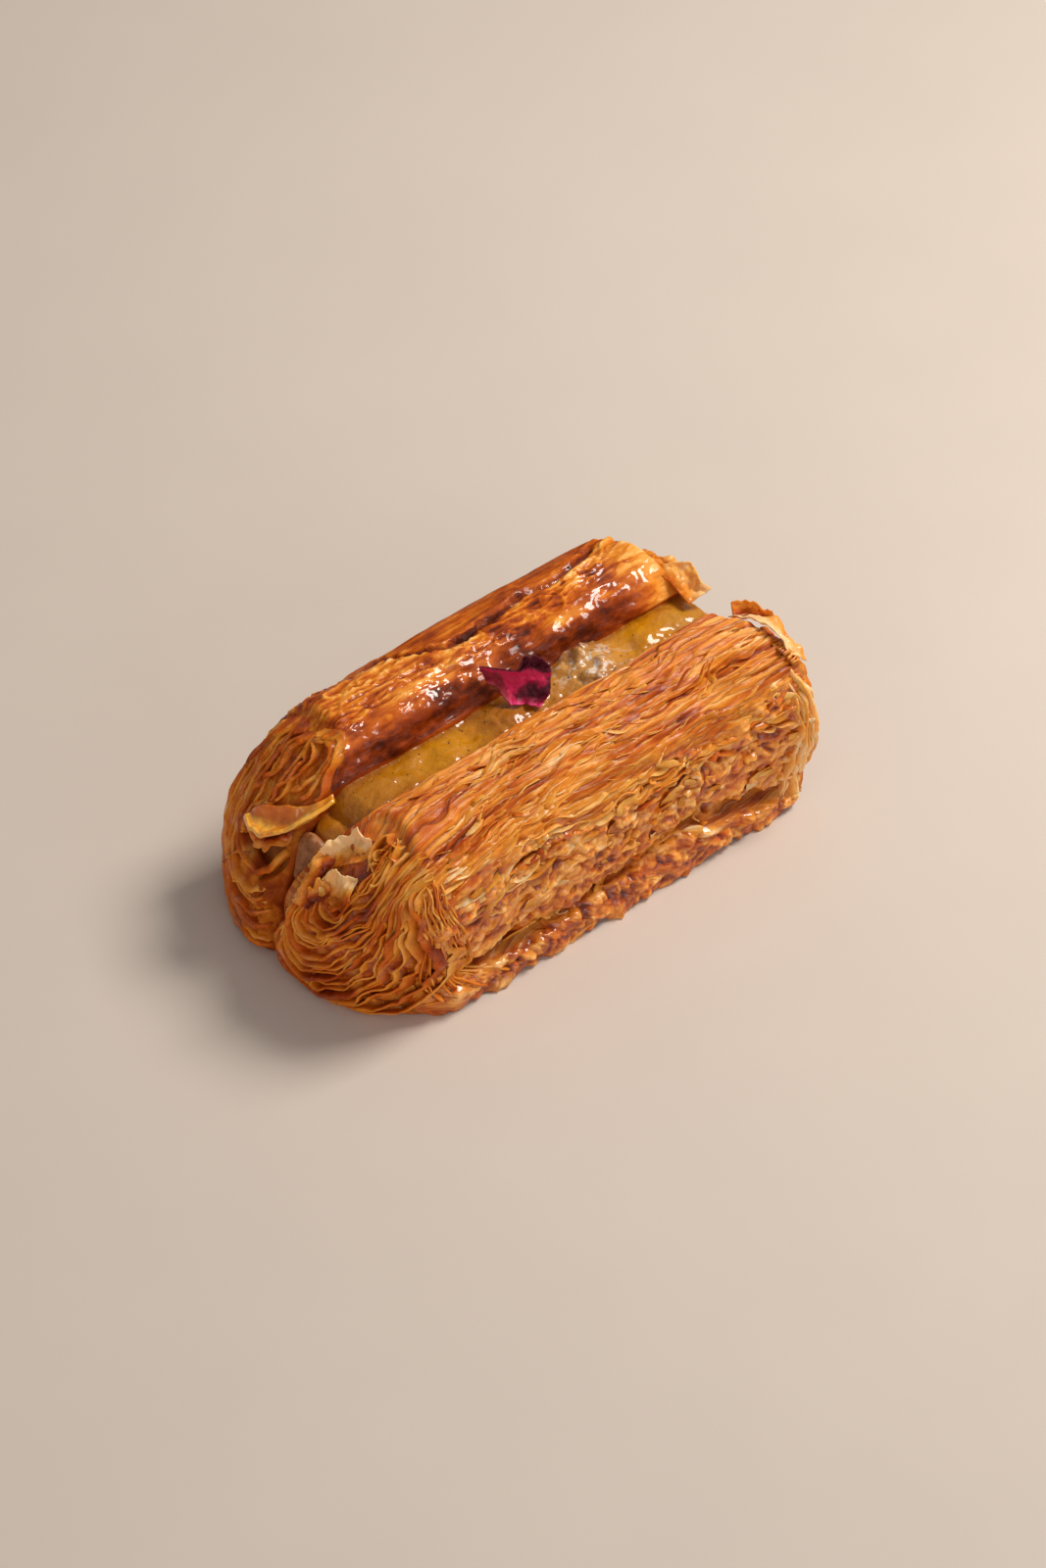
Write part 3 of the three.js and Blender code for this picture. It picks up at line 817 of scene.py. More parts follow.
def unevenly(line, seed, amount):
    """Lets a layer waver, much like its neighbours do and a little on its own."""
    p = plane(line[:, 0], line[:, 1])
    shift = [noise(p / 6.5, 91) * amount, noise(p / 6.5, 92) * amount]
    shift = [s + 0.3 * amount * noise(p / 2.2, seed + k) for k, s in enumerate(shift)]
    return line + np.stack(shift, axis=1)


def end_leaves(heap, lines, end, sign, seed, reach, sink=3.2, thick=(0.9, 0.42), lift=0.0, bake=0.44):
    """Leaves of dough on an end of the loaf, one for each line, of uneven reach."""
    for k, line in enumerate(lines):
        bent = unevenly(line, seed + 3 * k, 1.5)
        y, z = bent[:, 0], np.maximum(bent[:, 1], 0.35)
        path = np.stack([end(y, z), y, z], axis=1)
        t = np.linspace(0, 1, len(line))
        own = noise(plane(k * 3.3, 0.5), seed)
        far = noise(plane(t * 5.0, k * 1.9), seed + 1)
        ragged = noise(plane(t * 42.0, k * 7.1), seed + 2)
        gone = smoothstep(noise(plane(t * 9.0, k * 4.3), seed + 5), 0.35, 0.55)
        height = lift + reach * (0.55 + 0.5 * own + 0.7 * far + 0.2 * ragged - 0.9 * gone)
        height = lerp(-0.8, height, tapered(t, 0.05))
        lean = 0.8 * noise(plane(t * 7.0, k * 2.7), seed + 4)
        out = np.stack([np.full(len(t), sign * 1.0), 0.06 * noise(plane(t * 3, k), 9), 0 * t], axis=1)
        out /= np.linalg.norm(out, axis=1, keepdims=True)
        heavy = 0.8 + 1.3 * max(0.0, float(own))
        leaf_edge(
            heap,
            path,
            out,
            height,
            lean,
            sink=sink,
            thick=(thick[0] * heavy, thick[1] * heavy),
            steps=4,
            bake=bake + 0.2 * own + 0.16 * far,
        )


def corner_ribs(heap, skin, count, seed, rim, low, high, reach, bake, side=1, thick=(1.0, 0.36)):
    """Layers that turn from an end on to the face. They stand upright and fan out downwards:
    "low" and "high" are how many rows of the skin they are spread over at the base and the top."""
    draw = np.random.default_rng(seed)
    for k in range(count):
        share = (k + 0.5 * draw.random()) / count
        t = np.linspace(0, 1, 90)
        arc = lerp(draw.uniform(3.0, 12.0), draw.uniform(42.0, 50.0), t)
        row = lerp(lerp(low[0], low[1], share), lerp(high[0], high[1], share), smoothstep(t, -0.1, 0.9))
        own_way = 0.7 * noise(plane(arc / 5.0, k * 1.3), seed + 1)
        row = rim + side * (row + 3.0 * noise(plane(arc / 9.0, share * 1.5), seed) + own_way)
        path, out = skin.at(row, skin.col_of(arc))
        gone = smoothstep(noise(plane(arc / 7, k * 4.3), seed + 6), 0.3, 0.6)
        height = reach * (0.7 + 0.5 * noise(plane(arc / 6, k * 1.9), seed + 2) - 0.8 * gone)
        height = height + 0.14 * reach * noise(plane(arc / 1.2, k * 3.1), seed + 3)
        lean = side * (0.4 + 0.7 * noise(plane(arc / 7, k * 2.3), seed + 4))
        colour = bake + 0.10 * draw.uniform(-1, 1) + 0.12 * noise(plane(arc / 8, k), seed + 5)
        leaf_edge(heap, path, out, lerp(-0.8, height, tapered(t, 0.12)), lean, 1.4, thick, 4, bake=colour)


def top_leaves(heap, skin, long_count, short_count):
    """Thin edges of the layers that lie along the top of the front roll and over its shoulder:
    some run far, and many more are short shreds."""
    draw = np.random.default_rng(17)
    low, high = skin.outer_length - 36, skin.outer_length - 0.5
    span = skin.last - skin.first
    for k in range(long_count + short_count):
        is_long = k < long_count
        length = draw.uniform(0.1, 0.34) if is_long else draw.uniform(0.025, 0.11)
        start = draw.uniform(0, 1 - length)
        n = max(8, int((170 if is_long else 190) * length))
        t = np.linspace(start, start + length, n)
        share = draw.random() if is_long else draw.random() ** 0.7
        arc0 = lerp(low, high, share)
        loose = 1.6 - share
        x = lerp(-REACH, REACH, t)
        drift = -1.7 * noise(plane(x / 22, arc0 / 9), 11) - 1.2 * noise(plane(x / 8, arc0 / 4.5), 12)
        drift = drift + 0.6 * loose * noise(plane(x / 4.2, k * 1.37), 13)
        drift = drift - fan_down(x, arc0, skin.outer_length)
        drift = drift + draw.uniform(-0.07, 0.07) * loose * (x - x[0])
        col = skin.col_of(np.clip(arc0 + drift, 10, skin.outer_length - 0.4))
        path, out = skin.at(skin.first + t * span, col)
        u = np.linspace(0, 1, n)
        own = draw.uniform(-1, 1)
        height = 0.6 + 0.45 * own + 0.5 * noise(plane(x / 5, k * 2.3), 18)
        height = height + 0.2 * noise(plane(x / 1.1, k * 4.1), 19)
        height = 0.85 * height * (1 - 0.6 * smoothstep(share, 0.9, 1.0))
        lean = -0.7 + 1.6 * noise(plane(x / 7, k * 1.7), 20)
        pale = 0.26 + 0.16 * own + 0.15 * noise(plane(x / 9, k * 3.1), 22)
        leaf_edge(
            heap,
            path,
            out,
            lerp(-0.7, np.maximum(height, 0.05), tapered(u, 0.2)),
            lean,
            sink=0.9,
            thick=(0.34, 0.1),
            steps=3 if is_long else 2,
            bake=pale + 0.22 * streaks(x, arc0),
        )


def blister_rims(heap, skin, count):
    """Torn rims of burst blisters on the front face: short arcs that stand up and curl over."""
    draw = np.random.default_rng(29)
    span = skin.last - skin.first
    for k in range(count):
        width, tall = draw.uniform(1.5, 5.5), draw.uniform(0.6, 2.2)
        start, turn = draw.uniform(-0.4, 3.4), draw.uniform(1.2, 3.4)
        a = start + turn * np.linspace(0, 1, 18)
        size = 1 + 0.3 * noise(plane(a * 1.5, k * 2.1), 61)
        centre_t, centre_arc = draw.uniform(0.05, 0.97), draw.uniform(13, skin.outer_length - 30)
        row = skin.first + span * centre_t + width * np.cos(a) * size / ROW_SPACING
        arc = centre_arc + tall * np.sin(a) * size + 0.12 * width * np.cos(a)
        path, out = skin.at(np.clip(row, skin.first, skin.last), skin.col_of(np.clip(arc, 11, None)))
        taper = tapered(np.linspace(0, 1, len(a)), 0.3)
        height = draw.uniform(0.5, 1.15) * (1 + 0.4 * noise(plane(a * 2, k), 62))
        lean = draw.uniform(0.2, 1.0) * np.sin(a + draw.uniform(-0.5, 0.5))
        bake = draw.uniform(0.12, 0.46) + 0.1 * np.sin(a)
        leaf_edge(heap, path, out, lerp(-0.6, height, taper), lean, 0.9, (0.4, 0.1), 3, bake=bake)


# Large leaves and flaps


def torn_line(u, seed):
    """An uneven torn outline, about -1 to 1."""
    coarse = 0.8 * noise(plane(u * 4.3, 0.3), seed) + 0.35 * noise(plane(u * 11.0, 0.6), seed + 1)
    return coarse + 0.12 * noise(plane(u * 27.0, 0.9), seed + 2)


def patch(heap, edge_a, edge_b, bulge, thick, seed, ragged, size, crumple, rim=0.45, **fields):
    """A thin sheet between two edges, bowed by "bulge", crumpled, and torn along either edge. All
    round, it thins down to "rim" of its thickness."""
    n, m = size
    a = resampled_3d(edge_a, n)
    b = resampled_3d(edge_b, n)
    u = np.linspace(0, 1, n)
    across = b - a
    a = a + across * (ragged[0] * torn_line(u, seed))[:, None]
    b = b + across * (ragged[1] * torn_line(u, seed + 5))[:, None]
    v = np.linspace(0, 1, m)[None, :, None]
    grid = a[:, None] + (b - a)[:, None] * v
    normal = np.cross(np.gradient(grid, axis=0), np.gradient(grid, axis=1))
    normal /= np.maximum(np.linalg.norm(normal, axis=2, keepdims=True), 1e-9)
    wave = crumple * (0.7 * cloudy(grid / 4.2, seed + 2) + 0.12 * cloudy(grid / 1.2, seed + 3))
    lift = bulge * np.sin(np.pi * v[..., 0]) * np.sin(np.pi * np.clip(u * 0.9 + 0.05, 0, 1))[:, None]
    grid = grid + normal * (lift + wave)[..., None]
    edge = np.minimum(np.minimum(v[..., 0], 1 - v[..., 0]) * 6, np.minimum(u, 1 - u)[:, None] * 10)
    sheet(heap, grid, thick * lerp(rim, 1.0, np.clip(edge, 0, 1)), **fields)


def resampled_3d(line, count):
    """A smooth line of count points through a few (x, y, z)."""
    line = np.array(line, float)
    yz = smooth_curve(line[None, :, 1:], np.linspace(0, 1, count))[0][0]
    run = np.linalg.norm(np.diff(line[:, 1:], axis=0), axis=1)
    run = np.concatenate([[0], np.cumsum(run)])
    x = np.interp(np.linspace(0, run[-1], count), run, line[:, 0])
    return np.concatenate([x[:, None], yz], axis=1)


def on_surface(end, line, proud):
    """Puts a line (y, z) on an end of the loaf, with each point "proud" of it towards -X."""
    return [(float(end(np.array(y), np.array(z))) - proud, y, z) for y, z in line]


def loose_ring(heap, end, centre, radii, tilt, turns, seed, reach):
    """A layer at an end that is curled into a loose, uneven loop."""
    t = np.linspace(0, 1, 90)
    a = 2 * np.pi * turns * t + tilt
    size = lerp(1.0, 0.55, t) * (1 + 0.3 * noise(plane(1.4 * np.cos(a), 1.4 * np.sin(a), t), seed))
    across, along = radii[0] * np.cos(a) * size, radii[1] * np.sin(a) * size
    y = centre[0] + across * math.cos(tilt) - along * math.sin(tilt)
    z = centre[1] + across * math.sin(tilt) + along * math.cos(tilt)
    path = np.stack([end(y, z), y, z], axis=1)
    out = np.tile([-0.85, 0.0, 0.5], (len(t), 1))
    height = reach * (0.8 + 0.6 * noise(plane(t * 9, 0.0), seed + 1))
    height = lerp(-0.6, height, tapered(t, 0.1))
    lean, bake = 0.6 * np.sin(1.7 * a), 0.42 + 0.15 * np.sin(a)
    leaf_edge(heap, path, out, height, lean, 2.2, (0.6, 0.2), 4, bake=bake)


# Fillings


def gel_top(x):
    """The height of the gel along the seam, apart from its lumps."""
    return GEL_TOP - 1 + 0.5 * wander(1.4 * x, 0.4) - 4.5 * smoothstep(-x, 41, 50) + 1.6 * bell(x, 27, 6)


def cream_top(x):
    """The height of the cream, which stands higher in front of the gel."""
    return lerp(33.4, 29.0, smoothstep(x, -53.0, -50.0))


def filling(near, far, floor, top, stations, across, bump, inset, dome=3.0, lean=3.0):
    """Points and faces of a closed filling between the walls of the seam, with rounded, lumpy
    ends, of which the near one leans back by "lean"."""
    bulge = np.sin(np.linspace(0.06, 1, 14, endpoint=False) * np.pi / 2)
    caps = [(near - dome * math.sqrt(1 - s * s), s) for s in bulge]
    tail = [(far + 1.6 * math.sqrt(1 - s * s), s) for s in bulge[::-1]]
    rows = caps + [(x, 1.0) for x in np.linspace(near, far, stations)] + tail
    loops = []
    for x, s in rows:
        z1 = float(top(np.array(np.clip(x, near, far))))
        z = np.linspace(floor, z1, 13)
        front = np.stack([wall_front(z) + inset, z], axis=1)
        back = np.stack([wall_back(z) - inset, z], axis=1)
        u = np.linspace(0, 1, across + 1)[1:-1]
        y = lerp(front[-1, 0], back[-1, 0], u)
        surface = np.stack([y, z1 + bump(x, y, u)], axis=1)
        loop = np.concatenate([front, surface, back[::-1]])
        cy, cz = (front[6, 0] + back[6, 0]) / 2, (floor + z1) / 2
        loop = (loop - (cy, cz)) * s + (cy, cz)
        shift = 0.9 * cloudy(plane(loop[:, 0] / 3.3, loop[:, 1] / 3.3, s), 113) * (1 - s)
        up = np.clip((loop[:, 1] - floor) / (z1 - floor), 0, 1)
        shift = shift + lean * up**1.3 * (1 - smoothstep(x, near, near + 2 * lean))
        loops.append(np.concatenate([(x + shift)[:, None], loop], axis=1))
    return capped_grid(np.array(loops))


def gel_bump(x, y, u):
    """Lumps of fruit under the gel's top, and the wet line where it climbs the dough."""
    p = plane(x, y)
    crown = 0.5 * np.sin(np.pi * u)
    lumps = 0.75 * cloudy(p / 7.5, 101, 2) * np.sin(np.pi * u)
    ripples = 0.14 * cloudy(p / 2.6, 102, 2)
    margin = (np.exp(-u / 0.2) + 0.5 * np.exp(-(1 - u) / 0.12)) * 0.5 * cloudy(p / 1.3, 105, 2)
    clear = bell(x, 26.5, 5.0) * (2.8 * np.abs(noise(p / 2.9, 103)) + 0.5)
    brown = bell(x, 1.5, 6.0) * 0.6 * np.abs(noise(p / 2.4, 104))
    climb = 0.5 * np.exp(-u / 0.06) + 0.5 * np.exp(-(1 - u) / 0.06)
    return crown + lumps + ripples + margin + clear + brown + climb - 0.4


def cream_bump(x, y, u):
    """The swelling of the cream, most of all at its near end, and its own small lumps."""
    p = plane(x, y)
    return (2.0 * bell(x, -57, 5) + 0.2 + 0.3 * cloudy(p / 2.6, 111)) * np.sin(np.pi * u)


# The two fillings. "inset" is how far a filling stays off the walls of the seam. Below 0, it
# reaches that far into them, so that no gap shows.
GEL = {
    "near": -51,
    "far": 60,
    "floor": 29.6,
    "top": gel_top,
    "stations": 250,
    "across": 44,
    "bump": gel_bump,
    "inset": -0.25,
}
CREAM = {
    "near": -55.4,
    "far": 59.5,
    "floor": 16,
    "top": cream_top,
    "stations": 200,
    "across": 30,
    "bump": cream_bump,
    "inset": -0.2,
    "dome": 3.4,
    "lean": 1.6,
}
SPECK_COUNT = 45


# The petal: a claw, a blade that drops from a fold, and a half that curls up behind it
PETAL_CLAW = np.array([1.7, 9.4, 48.6])
PETAL_END = np.array([13.4, -2.4, 47.2])
PETAL_DROP = np.array([-3.6, -4.1, -5.9])
PETAL_CURL = np.array([1.2, 2.6, 4.0])
PETAL_BOWL = 1.5


def petal_grid(columns=120, rows=90):
    """The petal's points, and how dark (its own blotches, with painted shade in the hollow of its
    blade), edge-like (with a painted sheen on the rim of its curl) and shaded (painted shade on
    its wing) each is.
    """
    u = np.linspace(0, 1, columns)[:, None]
    v = np.linspace(0, 1, rows)[None, :]
    face = np.cross(PETAL_END - PETAL_CLAW, PETAL_DROP)
    face /= np.linalg.norm(face)
    blade = lerp(0.12, 1.0, smoothstep(u, 0.24, 0.46)) * (1 - 0.5 * smoothstep(u, 0.78, 1.0) ** 2)
    wing = 0.36 * smoothstep(u, 0.02, 0.14) * (1 - smoothstep(u, 0.28, 0.42))
    blade = blade + wing
    behind = lerp(0.05, 1.0, smoothstep(u, 0.52, 0.68)) * (1 - 0.45 * smoothstep(u, 0.8, 1.0))
    down = np.maximum(0, (v - 0.4) / 0.6)
    back = np.maximum(0, (0.4 - v) / 0.4)
    hem = 1 + 0.15 * torn_line(u * 1.4, 121) * down
    frill = 1 + 0.34 * torn_line(u * 1.6, 126) * back
    side = 0.035 * torn_line(v * 0.9, 131) * smoothstep(u, 0.7, 1.0)
    p = PETAL_CLAW + (PETAL_END - PETAL_CLAW) * (u + side)[..., None]
    p = p + PETAL_DROP * (blade * down * hem)[..., None] + PETAL_CURL * (behind * back * frill)[..., None]
    bowl = PETAL_BOWL * blade * np.sin(np.pi * down) * np.sin(np.pi * np.minimum(1, u + 0.1))
    ruffle = (0.5 * np.sin(23 * u) + 0.3 * np.sin(41 * u + 1)) * smoothstep(down, 0.7, 1.0)
    ruffle = ruffle * smoothstep(u, 0.4, 0.55)
    frill_wave = 0.6 * np.sin(21 * u + 1) * smoothstep(back, 0.3, 1.0) * smoothstep(u, 0.5, 0.65)
    veins = 0.05 * np.sin(46 * v + 9 * u) * smoothstep(u, 0.1, 0.5)
    sag = 0.5 * np.sin(np.pi * u)
    crumple = 0.3 * cloudy(p / 1.8, 123) + 0.7 * cloudy(p / 1.3, 124) * smoothstep(back, 0.1, 0.5)
    curl_over = 1.6 * smoothstep(back, 0.5, 1.0) ** 2
    p = p + face * (bowl + ruffle + frill_wave + veins + crumple - sag - curl_over)[..., None]
    blotch = 0.35 * cloudy(p / 2.4, 125, 3)
    # Dark: the petal's own blotches, with painted shade in the hollow of its blade
    dark = smoothstep(bell(down, 0.58, 0.34) * smoothstep(u, 0.42, 0.6) + blotch, 0.2, 0.95)
    dark = np.maximum(dark, 0.95 * smoothstep(back + 0.3 * blotch, 0.08, 0.3))
    dark = np.maximum(dark, 0.8 * smoothstep(u, 0.88, 0.97) * (down > 0))
    # Painted shade on the lower wing
    shaded = (1 - smoothstep(u - 0.16 * down, 0.24, 0.3)) * smoothstep(down, 0.1, 0.25)
    # A paler hem, and a painted sheen along the rim of the curled half
    edge = np.maximum(smoothstep(down, 0.82, 1.0) * smoothstep(u, 0.34, 0.4), smoothstep(back, 0.9, 1.0))
    full = [np.broadcast_to(np.clip(f, 0, 1), p.shape[:2]) for f in (dark, edge, shaded)]
    return p, full[0], full[1], full[2]


# Materials


def srgb(r, g, b):
    """A colour of a picture, 0 to 255 each, as a material takes it."""

    def linear(c):
        c = c / 255.0
        return c / 12.92 if c <= 0.04045 else ((c + 0.055) / 1.055) ** 2.4

    return (linear(r), linear(g), linear(b), 1.0)


class Wire:
    """A number in a material. Reckoning with it adds the Math nodes that do the same."""

    def __init__(self, bench, socket):
        self.bench = bench
        self.socket = socket

    def __add__(self, other):
        return self.bench.maths("ADD", self, other)

    def __radd__(self, other):
        return self.bench.maths("ADD", other, self)

    def __sub__(self, other):
        return self.bench.maths("SUBTRACT", self, other)

    def __rsub__(self, other):
        return self.bench.maths("SUBTRACT", other, self)

    def __mul__(self, other):
        return self.bench.maths("MULTIPLY", self, other)

    def __rmul__(self, other):
        return self.bench.maths("MULTIPLY", other, self)

    def held(self):
        """The number kept between 0 and 1."""
        return self.bench.maths("ADD", self, 0.0, clamp=True)


class Bench:
    """A node tree under construction, for a material or a geometry modifier."""

    def __init__(self, tree):
        self.tree = tree
        self.spot = None

    def node(self, kind, settings=None, values=None, out=0):
        """A new node with its settings, and with values or wires in its sockets. Gives the wire
        out of one of its sockets, or the node itself where "out" is None."""
        made = self.tree.nodes.new(kind)
        for key, value in (settings or {}).items():
            if key == "stops":
                self.set_stops(made.color_ramp, value)
            else:
                setattr(made, key, value)
        for key, value in (values or {}).items():
            if isinstance(value, Wire):
                self.tree.links.new(value.socket, made.inputs[key])
            else:
                made.inputs[key].default_value = value
        if out is None:
            return made
        return Wire(self, made.outputs[out])

    def set_stops(self, ramp, stops):
        """Gives a colour ramp its stops, as (place, colour)."""
        while len(ramp.elements) < len(stops):
            ramp.elements.new(0.5)
        for element, (place, colour) in zip(ramp.elements, stops):
            element.position = place
            element.color = colour

    def maths(self, operation, a, b, clamp=False):
        settings = {"operation": operation, "use_clamp": clamp}
        return self.node("ShaderNodeMath", settings, {0: a, 1: b})

    def vector(self, operation, a, b):
        second = "Scale" if operation == "SCALE" else 1
        return self.node("ShaderNodeVectorMath", {"operation": operation}, {0: a, second: b})

    def field(self, name):
        """A value that the mesh holds for each point."""
        settings = {"attribute_name": name}
        return self.node("ShaderNodeAttribute", settings, out="Fac")

    def place(self, stretch=(1, 1, 1), sway_mm=0.0):
        """The point's own place, swayed to and fro by a few mm, then stretched."""
        spot = self.spot or self.node("ShaderNodeTexCoord", out="Object")
        if sway_mm:
            values = {"Vector": spot, "Scale": 0.16 / MM, "Detail": 3.0}
            sway = self.node("ShaderNodeTexNoise", None, values, out=1)
            sway = self.vector("SCALE", self.vector("SUBTRACT", sway, (0.5, 0.5, 0.5)), 2 * sway_mm * MM)
            spot = self.vector("ADD", spot, sway)
        return self.vector("MULTIPLY", spot, tuple(stretch))

    def clouds(self, per_mm, detail=3.0, stretch=(1, 1, 1), rough=0.55, sway_mm=0.0):
        """Noise in the piece's own place, 0 to 1, about one feature for each 1 / per_mm mm."""
        values = {"Vector": self.place(stretch, sway_mm), "Scale": per_mm / MM}
        values.update({"Detail": detail, "Roughness": rough})
        return self.node("ShaderNodeTexNoise", None, values, out=0)

    def scales(self, per_mm, stretch=(1, 1, 1), sway_mm=1.0):
        """Overlapping flakes: a value for each flake, 0 to 1, and the distance from its middle."""
        values = {"Vector": self.place(stretch, sway_mm), "Scale": per_mm / MM}
        cell = self.node("ShaderNodeTexVoronoi", {"feature": "F1"}, values, out=None)
        parts = self.node("ShaderNodeSeparateXYZ", None, {0: Wire(self, cell.outputs["Color"])})
        return parts, Wire(self, cell.outputs["Distance"])

    def layering(self, pitch_mm, wander):
        """Thin layers along the roll: how far each point is through its layer, and a value for it."""
        parts = self.node("ShaderNodeSeparateXYZ", None, {0: self.spot}, out=None)
        along, arc = Wire(self, parts.outputs["X"]), Wire(self, parts.outputs["Y"])
        sway = self.clouds(0.06, 2, (0.4, 1, 1)) + self.clouds(0.25, 2, (0.3, 1, 1)) * 0.22
        phase = arc * (1 / (pitch_mm * MM)) + sway * wander
        layer = self.maths("FLOOR", phase, 0.0)
        where = self.node("ShaderNodeCombineXYZ", None, {0: along * (0.07 / MM), 1: layer * 3.7})
        values = {"Vector": where, "Scale": 1.0, "Detail": 1.0}
        return phase - layer, self.node("ShaderNodeTexNoise", None, values, out=0)

    def ramp(self, value, stops):
        """A colour for a value from 0 to 1, between the given stops."""
        return self.node("ShaderNodeValToRGB", {"stops": stops}, {0: value})

    def blend(self, share, a, b):
        """From colour a towards colour b by a share."""
        settings = {"data_type": "RGBA", "blend_type": "MIX"}
        return self.node("ShaderNodeMix", settings, {0: share, 6: a, 7: b}, out=2)

    def bump(self, height, strength, depth_mm):
        """A fine relief that is only shaded, from a height of 0 to 1."""
        values = {"Strength": strength, "Distance": depth_mm * MM, "Height": height}
        return self.node("ShaderNodeBump", None, values)


def new_material(name):
    """An empty material and the bench to build it on."""
    material = bpy.data.materials.new(name)
    material.use_nodes = True
    material.node_tree.nodes.clear()
    return material, Bench(material.node_tree)


def shade(bench, colour, roughness, shine=0.5, normal=None, **parts):
    """Ends a material in its surface: "coat" and "sheen" are (weight, roughness), and "inner", the
    light that spreads inside, is (weight, radius, scale)."""
    sockets = {"Base Color": colour, "Roughness": roughness, "Specular IOR Level": shine}
    if normal:
        sockets["Normal"] = normal
    for key, values in parts.items():
        sockets.update(zip(SHADER_PARTS[key], values))
    shader = bench.node("ShaderNodeBsdfPrincipled", None, sockets)
    bench.node("ShaderNodeOutputMaterial", None, {0: shader}, out=None)


SHADER_PARTS = {
    "coat": ("Coat Weight", "Coat Roughness"),
    "sheen": ("Sheen Weight", "Sheen Roughness"),
    "inner": ("Subsurface Weight", "Subsurface Radius", "Subsurface Scale"),
}
# How far red, green and blue light spread in the dough
DOUGH_RADIUS = (1.0, 0.4, 0.06)
# Colours of the dough from pale to burnt, dry and under a glaze
BAKED = [
    (0.00, srgb(255, 206, 148)),
    (0.16, srgb(252, 178, 88)),
    (0.34, srgb(233, 142, 40)),
    (0.54, srgb(203, 96, 14)),
    (0.72, srgb(158, 58, 5)),
    (0.88, srgb(104, 30, 2)),
    (1.00, srgb(58, 15, 3)),
]
GLAZED = [
    (0.00, srgb(255, 210, 150)),
    (0.16, srgb(252, 184, 92)),
    (0.34, srgb(234, 142, 40)),
    (0.54, srgb(196, 92, 14)),
    (0.72, srgb(146, 56, 6)),
    (0.88, srgb(92, 29, 3)),
    (1.00, srgb(52, 14, 3)),
]
# The brown of painted shade in the gaps and hollows of the dough
PAINTED_GAP_SHADE = srgb(92, 28, 3)


def leaf_material(name):
    """The thin edges of the layers: paler at the tip, amber where they are rooted, and darkened by
    painted shade towards their roots.
    """
    material, b = new_material(name)
    tip = b.field("tip")
    bake = b.field("bake") + (b.clouds(0.22, 4) - 0.5) * 0.5 + (b.clouds(1.5, 3) - 0.5) * 0.2
    bake = bake + (b.clouds(0.07, 2) - 0.5) * 0.7 + 0.06 - tip * 0.10
    colour = b.ramp(bake.held(), BAKED)
    # Painted shade: darker towards the root, down in the gap between layers
    colour = b.blend(((1.0 - tip) * 0.35).held(), colour, PAINTED_GAP_SHADE)
    shade(
        b,
        colour,
        0.5,
        shine=0.15,
        coat=(((b.clouds(0.25, 2) - 0.45) * 4.0).held(), 0.2),
        inner=(0.25, DOUGH_RADIUS, 0.0014),
        normal=b.bump(b.clouds(1.4, 4), 0.4, 0.25),
    )
    return material


def baked_material(name):
    """Laminated crust: thin layers along the roll's top, with a painted shadow in the gap under each
    layer's edge and pale edges partly painted as highlight; on the face, glassy bubbled dough with
    pale flakes, each bubble painted paler at its middle; painted shade in the hollows."""
    material, b = new_material(name)
    b.spot = b.node("ShaderNodeAttribute", {"attribute_name": "flow"}, out="Vector")
    flaky = b.field("flaky")
    up, tone = b.layering(1.7, 7.0)
    fine_up, fine_tone = b.layering(0.75, 16.0)
    shown = (b.clouds(0.16, 2, (0.5, 1, 1)) * 5.0 - 1.7).held()
    strand = b.clouds(0.8, 5, (0.09, 1, 1), 0.6, 1.6)
    flake, away = b.scales(0.26, (0.6, 1, 1), 3.0)
    bubble, off = b.scales(0.8, (0.8, 1, 1), 0.8)
    patchy = b.clouds(0.2, 5, (0.7, 1, 1), 0.55, 2.0)
    pores = (b.clouds(1.1, 2, (0.7, 1, 1)) * 8.0 - 5.2).held()
    # On the face each bubble is paler at its middle and darker to its rim, as painted light
    on_face = (patchy - 0.5) * 1.3 + (flake - 0.5) * 0.16 + (bubble - 0.5) * 0.12 + off * 0.10
    on_top = (tone - 0.5) * 0.7 + (fine_tone - 0.5) * 0.5 - (strand - 0.5) * 0.6
    bake = b.field("bake") + flaky * on_face + (1.0 - flaky) * on_top + pores * 0.1
    colour = b.ramp(bake.held(), BAKED)
    mauve = (b.clouds(0.4, 4, (0.07, 1, 1), 0.6, 1.2) * 7.0 - 4.2).held() * (1.0 - flaky)
    colour = b.blend(mauve * 0.55, colour, srgb(150, 80, 58))
    # Painted shadow: a dark line in the gap under the edge of each layer
    line = (1.0 - up * 6.0).held() * shown * (1.0 - flaky)
    colour = b.blend(line * 0.6, colour, PAINTED_GAP_SHADE)
    # Pale edges of the layers, partly the dough's own paleness and partly painted highlight
    pale_edge_and_highlight = (up * 5.0 - 3.8 + (b.clouds(0.9, 4, (0.4, 1, 1)) - 0.5) * 9.0).held()
    pale_edge_and_highlight = pale_edge_and_highlight * shown * (1.0 - flaky)
    colour = b.blend(pale_edge_and_highlight * 0.4, colour, srgb(255, 208, 146))
    # Painted shade in the gaps and hollows of the crust
    colour = b.blend((b.field("hollow") * 0.8).held(), colour, PAINTED_GAP_SHADE)
    wet = ((b.field("glaze") + flaky * 0.22) * (b.clouds(0.3, 3) * 5.0 - 1.5)).held()
    domes = (1.0 - off * 1.3) * (b.clouds(0.2, 2) * 5.0 - 2.0).held()
    low = patchy * 1.4 - away * 0.3 + domes * 1.5
    layers = up * shown * 0.7 + fine_up * 0.35 + strand * 0.5
    grain = (1.0 - flaky) * layers + flaky * low + b.clouds(1.6, 3, (0.4, 1, 1)) * 0.25 - pores * 0.3
    shade(
        b,
        colour,
        0.55,
        shine=0.2,
        coat=(wet, 0.12),
        inner=(0.2, DOUGH_RADIUS, 0.0015),
        normal=b.bump(grain, 0.8, 0.6),
    )
    return material


